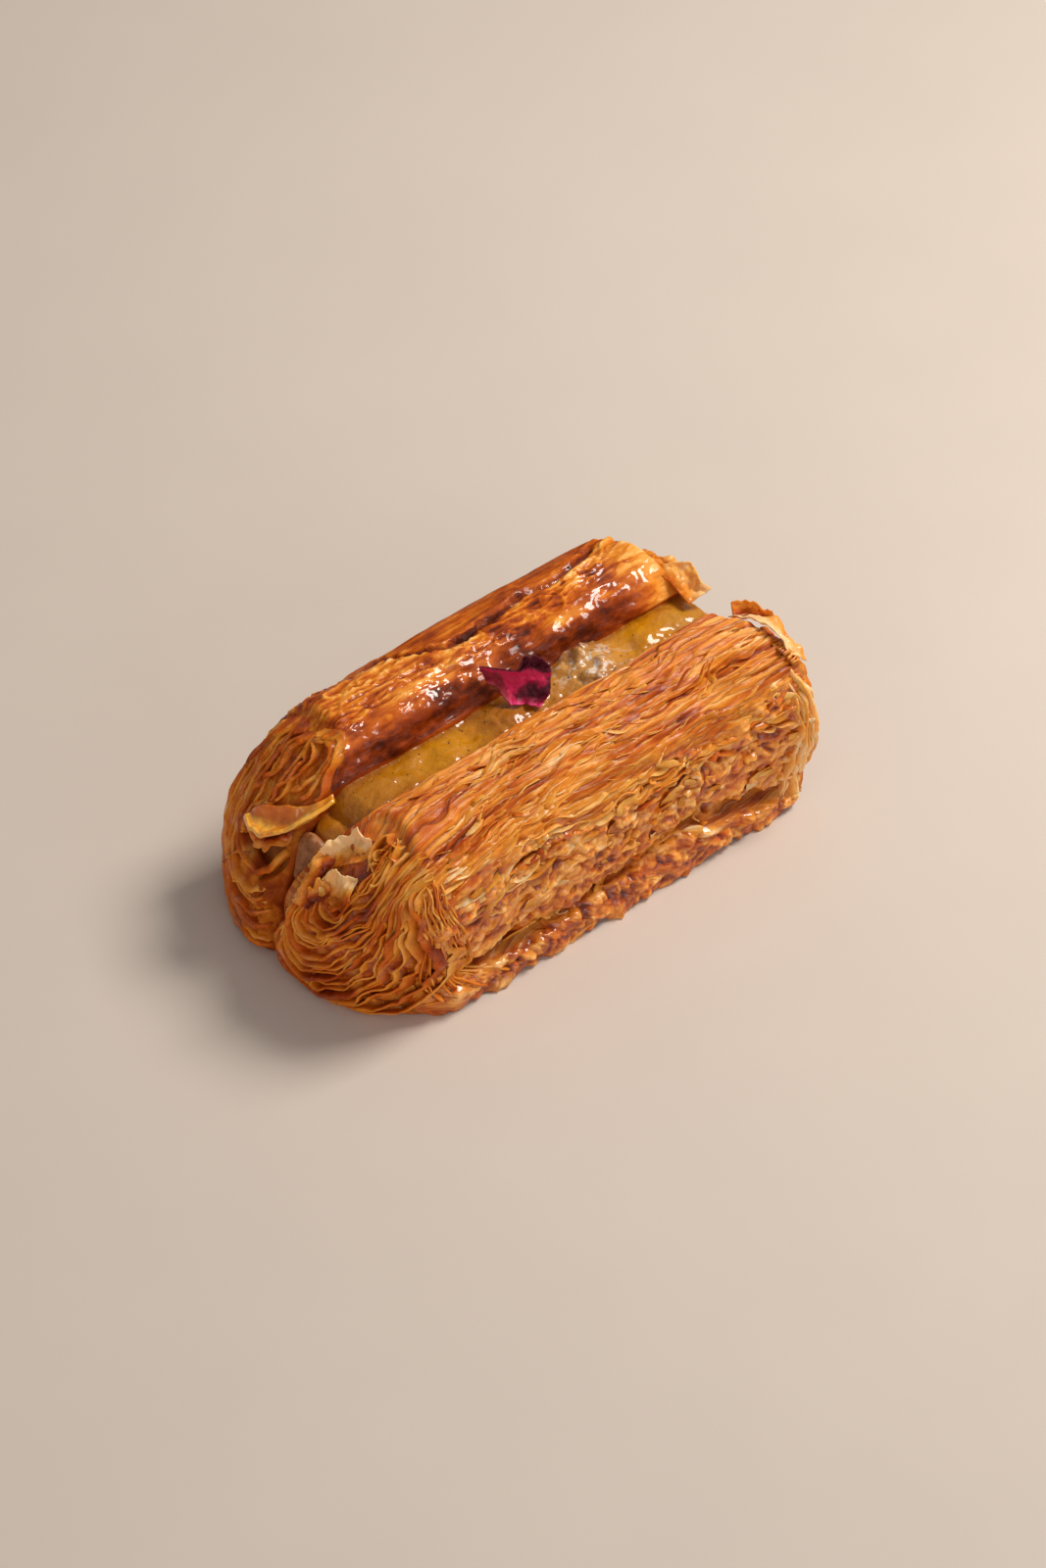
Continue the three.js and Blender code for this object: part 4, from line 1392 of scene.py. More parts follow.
def glazed_material(name):
    """The varnished skin of the back roll: amber to deep brown, glazed in patches, with painted
    shade in its hollows.
    """
    material, b = new_material(name)
    glaze, flaky = b.field("glaze"), b.field("flaky")
    streak = b.clouds(0.8, 6, (0.12, 1, 1), 0.62, 1.4)
    flake, away = b.scales(0.42, (0.45, 1, 1), 1.6)
    mottle = b.clouds(0.5, 4, (0.5, 1, 1), 0.6, 1.5)
    bake = b.field("bake") + (b.clouds(0.13, 3) - 0.5) * 0.5
    bake = bake - (streak - 0.5) * (0.25 + b.field("rough") * 0.5)
    bake = bake - (mottle - 0.5) * (0.25 + b.field("rough") * 0.4)
    bake = bake + (flake - 0.55) * 0.3 * flaky
    colour = b.ramp(bake.held(), GLAZED)
    # Painted shade in the hollows of the crust
    colour = b.blend((b.field("hollow") * 0.8).held(), colour, PAINTED_GAP_SHADE)
    wet = (glaze * (b.clouds(0.11, 3, (0.6, 1, 1)) * 7.0 - 2.9)).held()
    grain = streak * 0.8 + b.clouds(0.7, 4, (0.6, 1, 1)) * 0.6 + b.clouds(2.4, 3) * 0.15 - away * flaky * 0.4
    shade(
        b,
        colour,
        0.55,
        shine=0.12,
        coat=(wet, 0.10),
        inner=(0.08, DOUGH_RADIUS, 0.0015),
        normal=b.bump(grain, 0.75, 0.5),
    )
    return material


def gel_material(name):
    """Cooked fruit in a clear gel: khaki at the near end, then yellow, brownish and clear, with
    painted shade where it meets the walls of the seam and painted glints on its clear lump.
    """
    material, b = new_material(name)
    cloud = b.clouds(0.16, 3)
    pulp = (b.clouds(0.5, 5, (0.7, 1, 1), 0.6, 1.5) - 0.5) * 2.6
    colour = b.blend(b.field("bright").held(), srgb(174, 106, 14), srgb(206, 134, 0))
    colour = b.blend(b.field("murky").held(), colour, srgb(168, 96, 24))
    colour = b.blend(b.field("clear").held(), colour, srgb(206, 150, 84))
    # Painted glints: near-white spots on the clear lump
    bubbles_and_glints = (b.clouds(0.45, 3) * 9.0 - 4.4).held() * b.field("clear")
    colour = b.blend(bubbles_and_glints.held() * 0.95, colour, srgb(250, 236, 222))
    colour = b.blend(b.field("pale").held(), colour, srgb(192, 130, 38))
    colour = b.blend((cloud - 0.45).held() * 0.6, colour, srgb(206, 138, 14))
    flecks = (b.clouds(0.9, 2) * 9.0 - 6.3).held()
    colour = b.blend(flecks * 0.3, colour, srgb(226, 176, 60))
    colour = b.blend(pulp.held() * 0.3, colour, srgb(150, 84, 8))
    colour = b.blend((pulp * -1.0).held() * 0.3, colour, srgb(228, 178, 70))
    # Painted shade: darker where the gel meets the walls of the seam
    deep = (b.field("wall") + (b.clouds(0.4, 3) - 0.5) * 0.6).held()
    colour = b.blend(deep * 0.75, colour, srgb(138, 72, 6))
    lumps = b.clouds(0.5, 4) + pulp * 0.25 + b.clouds(0.22, 2) * b.field("clear") * 4.0
    shade(
        b,
        colour,
        0.3,
        shine=0.1,
        coat=(0.75, 0.03),
        inner=(0.15, (1.0, 0.5, 0.05), 0.002),
        normal=b.bump(lumps, 0.5, 0.9),
    )
    return material


def cream_material(name):
    """Vanilla cream with ground seed in it, browner towards its foot."""
    material, b = new_material(name)
    mottled = (b.clouds(0.45, 4) * 2.4 - 0.7).held()
    colour = b.blend(mottled, srgb(128, 70, 32), srgb(190, 128, 80))
    specks = (b.clouds(1.9, 2) * 16.0 - 10.0).held()
    colour = b.blend(specks * 0.8, colour, srgb(84, 42, 18))
    # Browner towards the foot of the cream
    stain = (b.field("stain") + (b.clouds(0.3, 3) - 0.5) * 0.8).held()
    colour = b.blend(stain * 0.8, colour, srgb(122, 66, 12))
    shade(
        b,
        colour,
        0.45,
        shine=0.25,
        coat=(0.15, 0.12),
        inner=(0.2, (1.0, 0.6, 0.35), 0.0015),
        normal=b.bump(b.clouds(1.0, 4), 0.7, 0.8),
    )
    return material


def petal_material(name):
    """A dried petal: deep pink, lighter at its edge with a painted sheen on the rim of its curl,
    dark red on its wing in painted shade, and nearly black in the middle of its blade, partly its
    own colour and partly painted shade in its hollow, and where it curls up."""
    material, b = new_material(name)
    dark, edge = b.field("dark"), b.field("edge")
    vein = b.clouds(1.1, 3, (1, 1, 3))
    colour = b.ramp((vein * 0.5 + 0.2).held(), [(0.2, srgb(180, 6, 56)), (0.8, srgb(236, 44, 104))])
    colour = b.blend((edge * 0.8).held(), colour, srgb(238, 70, 134))
    colour = b.blend((b.field("shaded") * 0.8).held(), colour, srgb(128, 22, 24))
    colour = b.blend((dark * 0.95).held(), colour, srgb(44, 2, 14))
    shade(
        b,
        colour,
        0.55,
        shine=0.25,
        sheen=(0.12, 0.4),
        inner=(0.1, (1.0, 0.2, 0.3), 0.001),
        normal=b.bump(vein, 0.4, 0.12),
    )
    return material


def speck_material(name):
    """Ground vanilla seed."""
    material, b = new_material(name)
    colour = b.ramp(b.clouds(1.5, 2), [(0.3, srgb(30, 14, 8)), (0.7, srgb(70, 38, 18))])
    shade(b, colour, 0.5)
    return material


def floor_material(name, tone):
    """A plain floor in one tone, very faintly clouded."""
    material, b = new_material(name)
    mottle = b.clouds(0.02, 3)
    darker = tuple(c * 0.94 for c in tone[:3]) + (1.0,)
    colour = b.blend(mottle, darker, tuple(tone[:3]) + (1.0,))
    shade(b, colour, 0.85, 0.2)
    return material


# Small things that repeat, set out by a node tree


def scatter_tree(name, shape):
    """Copies of one small shape over the points of a carrier, each turned and sized by what the
    point holds, then made a little uneven."""
    tree = bpy.data.node_groups.new(name, "GeometryNodeTree")
    io = tree.interface
    io.new_socket("Geometry", in_out="INPUT", socket_type="NodeSocketGeometry")
    sockets = {}
    for label, kind, value in (
        ("Size", "NodeSocketFloat", 1.0),
        ("Curl", "NodeSocketFloat", 0.25),
        ("Unevenness", "NodeSocketFloat", 0.0003),
        ("Seed", "NodeSocketInt", 1),
        ("Finish", "NodeSocketMaterial", None),
    ):
        socket = io.new_socket(label, in_out="INPUT", socket_type=kind)
        if value is not None:
            socket.default_value = value
        sockets[label] = socket.identifier
    io.new_socket("Geometry", in_out="OUTPUT", socket_type="NodeSocketGeometry")
    b = Bench(tree)
    given = b.node("NodeGroupInput", out=None)
    wires = {s.name: Wire(b, s) for s in given.outputs}
    if shape == "flake":
        size = {"Size": (1.0, 1.0, 0.06), "Vertices X": 6, "Vertices Y": 4, "Vertices Z": 2}
        body = b.node("GeometryNodeMeshCube", None, size)
    else:
        body = b.node("GeometryNodeMeshIcoSphere", None, {"Radius": 0.5, "Subdivisions": 2})
    place = b.node("GeometryNodeInputPosition")
    parts = b.node("ShaderNodeSeparateXYZ", None, {0: place}, out=None)
    px, py = Wire(b, parts.outputs[0]), Wire(b, parts.outputs[1])
    bend = (px * px * 1.4 + px * py * 0.8) * wires["Curl"]
    pinch = py * px * px * -1.6
    shift = b.node("ShaderNodeCombineXYZ", None, {0: 0.0, 1: pinch, 2: bend})
    body = b.node("GeometryNodeSetPosition", None, {"Geometry": body, "Offset": shift})
    turn = b.node("GeometryNodeInputNamedAttribute", {"data_type": "FLOAT_VECTOR"}, {"Name": "turn"})
    size = b.node("GeometryNodeInputNamedAttribute", {"data_type": "FLOAT_VECTOR"}, {"Name": "size"})
    size = b.vector("SCALE", size, wires["Size"])
    values = {"Points": wires["Geometry"], "Instance": body, "Rotation": turn, "Scale": size}
    copies = b.node("GeometryNodeInstanceOnPoints", None, values)
    real = b.node("GeometryNodeRealizeInstances", None, {"Geometry": copies})
    where = b.node("GeometryNodeInputPosition")
    values = {"Vector": where, "W": wires["Seed"], "Scale": 900.0, "Detail": 1.0}
    lump = b.node("ShaderNodeTexNoise", {"noise_dimensions": "4D"}, values, out=1)
    offset = b.vector("SCALE", b.vector("SUBTRACT", lump, (0.5, 0.5, 0.5)), wires["Unevenness"])
    real = b.node("GeometryNodeSetPosition", None, {"Geometry": real, "Offset": offset})
    real = b.node("GeometryNodeSetShadeSmooth", None, {"Geometry": real})
    done = b.node("GeometryNodeSetMaterial", None, {"Geometry": real, "Material": wires["Finish"]})
    b.node("NodeGroupOutput", None, {0: done}, out=None)
    return tree, sockets


def euler_angles(x_axis, z_axis):
    """Turns that take X and Z to the given directions, as X, Y, Z angles."""
    z = z_axis / np.linalg.norm(z_axis, axis=1, keepdims=True)
    x = x_axis - z * (x_axis * z).sum(axis=1, keepdims=True)
    x /= np.linalg.norm(x, axis=1, keepdims=True)
    y = np.cross(z, x)
    pitch = -np.arcsin(np.clip(x[:, 2], -1, 1))
    roll = np.arctan2(y[:, 2], z[:, 2])
    yaw = np.arctan2(x[:, 1], x[:, 0])
    return np.stack([roll, pitch, yaw], axis=1)


def scatter(name, shape, points, turns, sizes, material, slot, curl=0.25, uneven=0.3, seed=1, **fields):
    """Points and sizes in mm. The result is one plain mesh."""
    mesh = bpy.data.meshes.new(name)
    mesh.vertices.add(len(points))
    mesh.vertices.foreach_set("co", (points * MM).astype(np.float32).ravel())
    for key, value in (("turn", turns), ("size", sizes * MM)):
        layer = mesh.attributes.new(key, "FLOAT_VECTOR", "POINT")
        layer.data.foreach_set("vector", value.astype(np.float32).ravel())
    for key, value in fields.items():
        layer = mesh.attributes.new(key, "FLOAT", "POINT")
        layer.data.foreach_set("value", value.astype(np.float32))
    thing = bpy.data.objects.new(name, mesh)
    bpy.context.scene.collection.objects.link(thing)
    tree, sockets = scatter_tree(name + "_tree", shape)
    modifier = thing.modifiers.new("scatter", "NODES")
    modifier.node_group = tree
    for key, value in (("Curl", curl), ("Unevenness", uneven * MM), ("Seed", seed), ("Finish", material)):
        modifier[sockets[key]] = value
    bpy.context.view_layer.update()
    graph = bpy.context.evaluated_depsgraph_get()
    real = bpy.data.meshes.new_from_object(thing.evaluated_get(graph), depsgraph=graph)
    thing.modifiers.clear()
    thing.data = real
    finish_piece(thing, material)


# Sizes and colours that a user would change


class EclairCrustSettings(bpy.types.PropertyGroup):
    top_leaf_count: bpy.props.IntProperty(
        name="Top Leaves",
        description="How many long edges of dough show along the top of the front roll",
        default=44,
        min=4,
        max=120,
    )
    shred_count: bpy.props.IntProperty(
        name="Top Shreds",
        description="How many short torn edges lie between the long ones",
        default=340,
        min=0,
        max=900,
    )
    blister_count: bpy.props.IntProperty(
        name="Blister Rims",
        description="How many torn rims of blisters stand on the front face",
        default=50,
        min=0,
        max=900,
    )
    leaf_reach: bpy.props.FloatProperty(
        name="Leaf Reach",
        description="How far the layers stand out at the ends",
        default=0.0009,
        min=0.0,
        max=0.003,
        unit="LENGTH",
    )
    flake_count: bpy.props.IntProperty(
        name="Flakes",
        description="How many thin flakes lie on the front face",
        default=70,
        min=0,
        max=2000,
    )


class EclairStageSettings(bpy.types.PropertyGroup):
    floor_colour: bpy.props.FloatVectorProperty(
        name="Floor Colour",
        description="Colour of the plain floor",
        default=srgb(214, 200, 188)[:3],
        size=3,
        min=0.0,
        max=1.0,
        subtype="COLOR",
    )
    key_power: bpy.props.FloatProperty(
        name="Key Light",
        description="Strength of the large soft light",
        default=7.6,
        min=0.0,
        unit="POWER",
    )
    fill_power: bpy.props.FloatProperty(
        name="Fill Light",
        description="Strength of the light beside the camera",
        default=2.4,
        min=0.0,
        unit="POWER",
    )


SKINS = {}


def skin_of(side):
    """The skin of the front or the back roll, made when it is first asked for."""
    if side not in SKINS:
        SKINS[side] = Skin(FRONT if side == "front" else BACK)
    return SKINS[side]


def build_roll(name, side, crust, material):
    """One of the rolls, from the surface and the values that its function "crust" works out."""
    points, fields = crust(skin_of(side))
    verts, quads, tris = capped_grid(points)
    thing = add_mesh(name, verts, quads, tris, with_ends(fields))
    finish_piece(thing, material, ["croissant"])


class ECLAIR_OT_front_roll(bpy.types.Operator):
    """Builds the front roll, with its laminated top and its blistered face"""

    bl_idname = "eclair.front_roll"
    bl_label = "Front Roll"

    def execute(self, context):
        build_roll("front_roll", "front", front_crust, baked_material("baked_crust"))
        return {"FINISHED"}


class ECLAIR_OT_back_roll(bpy.types.Operator):
    """Builds the back roll, with its glazed top rolled down to the filling"""

    bl_idname = "eclair.back_roll"
    bl_label = "Back Roll"

    def execute(self, context):
        build_roll("back_roll", "back", back_crust, glazed_material("glazed_crust"))
        return {"FINISHED"}


class ECLAIR_OT_layers(bpy.types.Operator):
    """Builds the thin edges of the layers: at the four ends of the rolls and along the top"""

    bl_idname = "eclair.layers"
    bl_label = "Layers Of Dough"

    def execute(self, context):
        settings = context.scene.eclair_crust
        reach = settings.leaf_reach / MM
        leaf = leaf_material("leaf_edges")
        skin = skin_of("front")
        front, back = Heap(), Heap()
        lines = layer_lines(FRONT_NEAR_GUIDES, [6, 6, 4, 4], 170)
        end_leaves(front, lines, front_near, -1, 301, reach)
        for k, (y, z, wide, tall, tilt, turns) in enumerate(KNOT_LOOPS):
            loose_ring(front, front_near, (y, z), (wide, tall), tilt, turns, 340 + k, 0.8)
        corner_ribs(front, skin, 16, 351, skin.first, (-12, 36), (-6, 10), 0.9, 0.42)
        finish_piece(front.build("front_roll_near_layers"), leaf)
        lines = layer_lines(BACK_NEAR_GUIDES, [2, 1, 2, 1, 3, 3, 3], 130)
        end_leaves(back, lines, back_near, -1, 401, reach, thick=(1.7, 0.8))
        rim = resampled(POCKET_RIM, 90)
        end_leaves(back, [rim], back_near, -1, 431, 0.2, thick=(2.6, 1.8), lift=0.3, bake=0.62)
        finish_piece(back.build("back_roll_near_layers"), leaf)
        top = Heap()
        top_leaves(top, skin, settings.top_leaf_count, settings.shred_count)
        blister_rims(top, skin, settings.blister_count)
        finish_piece(top.build("front_roll_top_layers"), leaf)
        far = Heap()
        lines = layer_lines(FRONT_NEAR_GUIDES, [6, 6, 3, 4], 120)
        end_leaves(far, lines, front_far, 1, 501, reach)
        lines = layer_lines(BACK_NEAR_GUIDES, [2, 2, 2, 2, 3, 3, 3], 110)
        end_leaves(far, lines, back_far, 1, 601, reach)
        corner_ribs(far, skin, 11, 361, skin.last, (-9, 10), (-2, 9), 1.7, 0.16, -1)
        finish_piece(far.build("far_end_layers"), leaf)
        return {"FINISHED"}


# Back and rim of the glazed ledge at the near end of the back roll, as (x, y, z)
LEDGE_BACK = [
    (-57.0, 20.0, 32.0),
    (-56.0, 17.3, 34.6),
    (-54.4, 13.5, 36.4),
    (-52.2, 9.6, 37.8),
    (-49.6, 7.0, 38.9),
    (-45.2, 5.2, 40.4),
]
LEDGE_RIM = [
    (-59.6, 20.4, 31.8),
    (-61.8, 16.2, 32.0),
    (-61.6, 11.6, 33.2),
    (-59.6, 8.2, 34.9),
    (-56.8, 5.8, 36.6),
    (-52.4, 4.2, 38.8),
    (-46.4, 3.4, 40.4),
]
# Flaps at the near end: free edge and root (y, z), how far these two stand out from it, bow,
# thickness, seed, raggedness and bake
NEAR_FLAPS = [
    (
        [(19.0, 28.2), (14.4, 27.2), (10.4, 28.4), (6.2, 32.4)],
        [(19.6, 30.2), (15.0, 29.6), (11.0, 30.8), (6.6, 34.4)],
        (1.6, 0.2), 0.3, 0.5, 711, (0.5, 0.0), 0.42,
    ),
    (
        [(-5.0, 38.6), (-6.2, 40.8), (-8.0, 42.6), (-10.6, 43.9), (-13.8, 44.6)],
        [(-8.4, 34.6), (-10.6, 36.4), (-12.6, 37.8), (-14.6, 39.0), (-16, 40.6)],
        (2.6, -1.0), 1.5, 0.6, 721, (0.22, 0.0), -0.02,
    ),
    (
        [(-9.2, 33.4), (-10.8, 36.2), (-13.6, 37.6), (-16.6, 37.8)],
        [(-10.6, 29.6), (-13.4, 29.0), (-16.2, 30.2), (-18.8, 33.6)],
        (1.6, 0.2), 2.2, 0.7, 731, (0.14, 0.08), 0.04,
    ),
    (
        [(-5.0, 38.4), (-4.6, 35.0), (-5.2, 31.2), (-4.0, 26.6)],
        [(-9.0, 36.8), (-8.8, 33.6), (-9.2, 30.4), (-8.0, 26.0)],
        (2.2, -0.6), 0.9, 0.5, 741, (0.45, 0.0), 0.34,
    ),
    (
        [(-7.6, 32.6), (-9.4, 34.6), (-11.6, 35.0)],
        [(-8.6, 29.0), (-10.8, 29.6), (-13.0, 31.6)],
        (2.4, 0.6), 1.0, 0.5, 746, (0.4, 0.1), 0.30,
    ),
]
# Flaps at the far end: free edge and root (x, y, z), bow, thickness, seed, raggedness and bake
FAR_FLAPS = [
    (
        [(59.0, 10.4, 47.6), (62.2, 7.0, 48.0), (63.8, 3.0, 46.6), (63.2, -1.6, 44.6)],
        [(56.6, 9.6, 45.8), (57.6, 6.4, 44.6), (57.8, 3.0, 43.2), (57.2, -0.8, 42.6)],
        1.3, 0.5, 751, (0.3, 0.0), 0.14,
    ),
    (
        [(57.6, 14.0, 47.6), (61.6, 10.6, 47.0), (63.0, 6.0, 45.0), (62.4, 1.4, 42.6)],
        [(57.0, 13.0, 45.0), (58.8, 9.6, 43.6), (59.4, 6.2, 42.0), (59.6, 2.8, 41.0)],
        -1.2, 0.5, 756, (0.25, 0.0), 0.2,
    ),
    (
        [(59.4, -12.2, 45.6), (61.0, -17, 47.4), (62.0, -22, 47.4), (63.2, -29, 44.2)],
        [(64.6, -12.6, 45.0), (67.2, -18.0, 45.6), (67.6, -24, 44.4), (66.6, -31.4, 40.6)],
        -0.7, 0.6, 761, (0.05, 0.12), 0.0,
    ),
    (
        [(60.8, -11.6, 47.9), (63.2, -13.0, 48.5), (65.4, -16.0, 48.3), (66.8, -19.4, 47.3)],
        [(60.0, -13.2, 45.8), (63.0, -14.6, 46.2), (65.4, -17.4, 46.0), (66.6, -20.6, 45.2)],
        0.6, 0.6, 771, (0.35, 0.0), 0.38,
    ),
]


# How many points each kind of flap has along it and across it
LEDGE_GRID = (90, 34)
NEAR_GRID = (64, 26)
FAR_GRID = (56, 26)


def browned(bake, size, start, more):
    """How baked a flap is over its grid, with up to "more" added from "start" to its root."""
    v = np.linspace(0, 1, size[1])[None, :]
    return bake + more * smoothstep(v, start, 1.0) * np.ones((size[0], 1))


class ECLAIR_OT_flaps(bpy.types.Operator):
    """Builds the large flakes: the glazed ledge, the torn flaps and the leaves at the far end"""

    bl_idname = "eclair.flaps"
    bl_label = "Ledge, Flaps And Leaves"

    def execute(self, context):
        ledge = Heap()
        u, v = np.linspace(0, 1, LEDGE_GRID[0])[:, None], np.linspace(0, 1, LEDGE_GRID[1])[None, :]
        floor = bell(v, 0.66, 0.26) * (1 - smoothstep(u, 0.35, 0.7))
        # Glaze pooled on the ledge's floor, and a painted highlight along its rim
        pool = 0.26 + 0.42 * floor + 0.3 * smoothstep(v, 0.86, 0.97) * (1 - 0.6 * u)
        pool = pool + 0.2 * smoothstep(u, 0.5, 0.8)
        # Painted highlight: white near the far end of the ledge
        pool = pool + 0.55 * bell(u, 0.84, 0.07) * bell(v, 0.55, 0.3)
        torn = (0.0, 0.12)
        patch(ledge, LEDGE_BACK, LEDGE_RIM, 2.6, 1.1, 701, torn, LEDGE_GRID, 0.8, 0.9, pool=pool, tip=0.5)
        finish_piece(ledge.build("glazed_ledge"), ledge_material("ledge_glaze"))

        flaps = Heap()
        for line, root, out, bulge, thick, seed, ragged, bake in NEAR_FLAPS:
            end = back_near if line[0][0] > 0 else front_near
            free = on_surface(end, line, out[0])
            fixed = on_surface(end, root, out[1])
            brown = browned(bake, NEAR_GRID, 0.25, 0.5)
            patch(flaps, free, fixed, bulge, thick, seed, ragged, NEAR_GRID, 2.3, bake=brown, tip=0.8)
        for free, root, bulge, thick, seed, ragged, bake in FAR_FLAPS:
            brown = browned(bake, FAR_GRID, 0.4, 0.3)
            patch(flaps, free, root, bulge, thick, seed, ragged, FAR_GRID, 1.5, bake=brown, tip=0.8)
        finish_piece(flaps.build("torn_flaps"), leaf_material("thin_flaps"))
        return {"FINISHED"}


def ledge_material(name):
    """Dough under a thick glaze: amber, yellow where it pools, with a painted highlight that is
    paler along its rim and white near its far end.
    """
    material, b = new_material(name)
    mix = b.field("pool") + (b.clouds(0.35, 3) - 0.5) * 0.4
    stops = [
        (0.02, srgb(160, 62, 5)),
        (0.30, srgb(220, 116, 12)),
        (0.58, srgb(248, 168, 44)),
        (0.80, srgb(255, 198, 96)),
        # White for the painted highlight
        (1.00, srgb(250, 232, 216)),
    ]
    colour = b.ramp(mix.held(), stops)
    shade(
        b,
        colour,
        0.35,
        shine=0.25,
        coat=(1.0, 0.05),
        inner=(0.25, (1.0, 0.5, 0.1), 0.002),
        normal=b.bump(b.clouds(0.5, 3), 0.6, 0.6),
    )
    return material


def crust_places(side, count, seed, arc_low, arc_high, row_low=0.02, row_high=0.98):
    """Random places on a roll: points, outward and lengthwise directions."""
    skin = skin_of(side)
    draw = np.random.default_rng(seed)
    row = skin.first + draw.uniform(row_low, row_high, count) * (skin.last - skin.first)
    arc = draw.uniform(arc_low, arc_high, count)
    col = skin.col_of(arc)
    points, normals = skin.at(row, col)
    ahead, _ = skin.at(row + 1.5, col)
    along = ahead - points
    return draw, points, normals, along / np.linalg.norm(along, axis=1, keepdims=True), arc


class ECLAIR_OT_flakes(bpy.types.Operator):
    """Scatters thin flakes over the crust"""

    bl_idname = "eclair.flakes"
    bl_label = "Flakes And Crumbs"

    def execute(self, context):
        count = context.scene.eclair_crust.flake_count
        length = skin_of("front").outer_length
        draw, points, normals, along, arc = crust_places("front", count, 31, 12, length - 27)
        turn = draw.normal(0, 0.45, count)[:, None]
        across = np.cross(normals, along)
        heading = along * np.cos(turn) + across * np.sin(turn)
        facing = normals + 0.13 * draw.normal(0, 1, (count, 3))
        long_way = draw.uniform(3.0, 9.0, count) * draw.uniform(0.4, 1.0, count)
        sizes = np.stack([long_way, long_way * draw.uniform(0.28, 0.55, count), np.full(count, 1.7)], axis=1)
        turns = euler_angles(heading, facing)
        leaf = leaf_material("loose_flakes")
        scatter(
            "face_flakes",
            "flake",
            points + normals * draw.uniform(-0.1, 0.3, count)[:, None],
            turns,
            sizes,
            leaf,
            "crust",
            curl=0.35,
            uneven=1.1,
            seed=5,
            bake=draw.uniform(0.12, 0.45, count),
            tip=draw.uniform(0.4, 1.0, count),
        )
        return {"FINISHED"}


class ECLAIR_OT_fillings(bpy.types.Operator):
    """Builds the fruit gel and the vanilla cream in the seam, with their specks"""

    bl_idname = "eclair.fillings"
    bl_label = "Gel And Cream"

    def execute(self, context):
        verts, quads, tris = filling(**GEL)
        x, y, z = verts.T
        fields = {
            "bright": 0.95 * bell(x, -15, 9) + 0.95 * bell(x, 40, 9) + 0.3 * smoothstep(x, -45, -25),
            "murky": 0.85 * bell(x, 1.5, 8.5) + 0.35 * bell(x, -48, 6),
            "clear": bell(x, 27, 7.5),
            "pale": smoothstep(x, 47, 54),
            # Nearness to the walls of the seam, where the gel gets painted shade
            "wall": bell(y, wall_front(z), 1.8) + bell(y, wall_back(z), 1.8),
        }
        gel = add_mesh("fruit_gel_top", verts, quads, tris, fields)
        finish_piece(gel, gel_material("fruit_gel_finish"), ["fruit_gel"])
        verts, quads, tris = filling(**CREAM)
        stain = {"stain": 1 - smoothstep(verts[:, 2], 16, 25)}
        cream = add_mesh("vanilla_cream_heap", verts, quads, tris, stain)
        finish_piece(cream, cream_material("vanilla_cream_finish"), ["vanilla_cream"])
        draw = np.random.default_rng(77)
        count = SPECK_COUNT
        x = draw.uniform(-50, 55, count)
        u = draw.uniform(0.12, 0.88, count)
        z1 = gel_top(x)
        y = lerp(wall_front(z1), wall_back(z1), u)
        points = np.stack([x, y, z1 + gel_bump(x, y, u) + 0.02], axis=1)
        size = draw.uniform(0.18, 0.42, count)
        sizes = np.stack([size * 1.4, size, size * 0.6], axis=1)
        turns = np.stack([0 * x, 0 * x, draw.uniform(0, 6.28, count)], axis=1)
        specks = speck_material("vanilla_specks_finish")
        scatter("vanilla_specks", "grain", points, turns, sizes, specks, "gel", 0.0, 0.05, 9)
        return {"FINISHED"}


class ECLAIR_OT_petal(bpy.types.Operator):
    """Builds the dried rose petal that rests on the lip of the back roll"""

    bl_idname = "eclair.petal"
    bl_label = "Rose Petal"

    def execute(self, context):
        grid, dark, edge, shaded = petal_grid()
        heap = Heap()
        sheet(heap, grid, 0.26, dark=dark, edge=edge, shaded=shaded)
        petal = heap.build("dried_rose_petal")
        finish_piece(petal, petal_material("petal_finish"), ["rose_petal"])
        return {"FINISHED"}


# The photograph's view: angles in degrees, focal length in its pixels, pixels to a mm, and the
# pixel at which one point of the loaf shows
CAMERA_AZIMUTH = -40.3
CAMERA_ELEVATION = 44.0
CAMERA_FOCAL = 5500.0
CAMERA_SCALE = 4.3
ANCHOR = np.array([59.0, -34.0, 0.0])
ANCHOR_PIXEL = (799.0, 823.0)
PICTURE = (1067, 1600)
SENSOR = 36.0
FLOOR_HALF = 2.5


def place_camera(scene):
    """Sets the camera so that the loaf stands in the picture as in the photograph."""
    az, el = math.radians(CAMERA_AZIMUTH), math.radians(CAMERA_ELEVATION)
    back = np.array([math.sin(az) * math.cos(el), -math.cos(az) * math.cos(el), math.sin(el)])
    right = np.array([math.cos(az), math.sin(az), 0.0])
    up = np.cross(back, right)
    distance = CAMERA_FOCAL / CAMERA_SCALE
    u = (ANCHOR_PIXEL[0] - PICTURE[0] / 2) / CAMERA_FOCAL
    v = (ANCHOR_PIXEL[1] - PICTURE[1] / 2) / CAMERA_FOCAL
    centre = ANCHOR + distance * back - right * u * distance + up * v * distance
    data = bpy.data.cameras.new("camera")
    data.sensor_width = SENSOR
    data.lens = CAMERA_FOCAL * SENSOR / PICTURE[1]
    data.clip_start, data.clip_end = 0.05, 20.0
    camera = bpy.data.objects.new("camera", data)
    camera.matrix_world = Matrix(
        [
            (right[0], up[0], back[0], centre[0] * MM),
            (right[1], up[1], back[1], centre[1] * MM),
            (right[2], up[2], back[2], centre[2] * MM),
            (0.0, 0.0, 0.0, 1.0),
        ]
    )
    scene.collection.objects.link(camera)
    scene.camera = camera


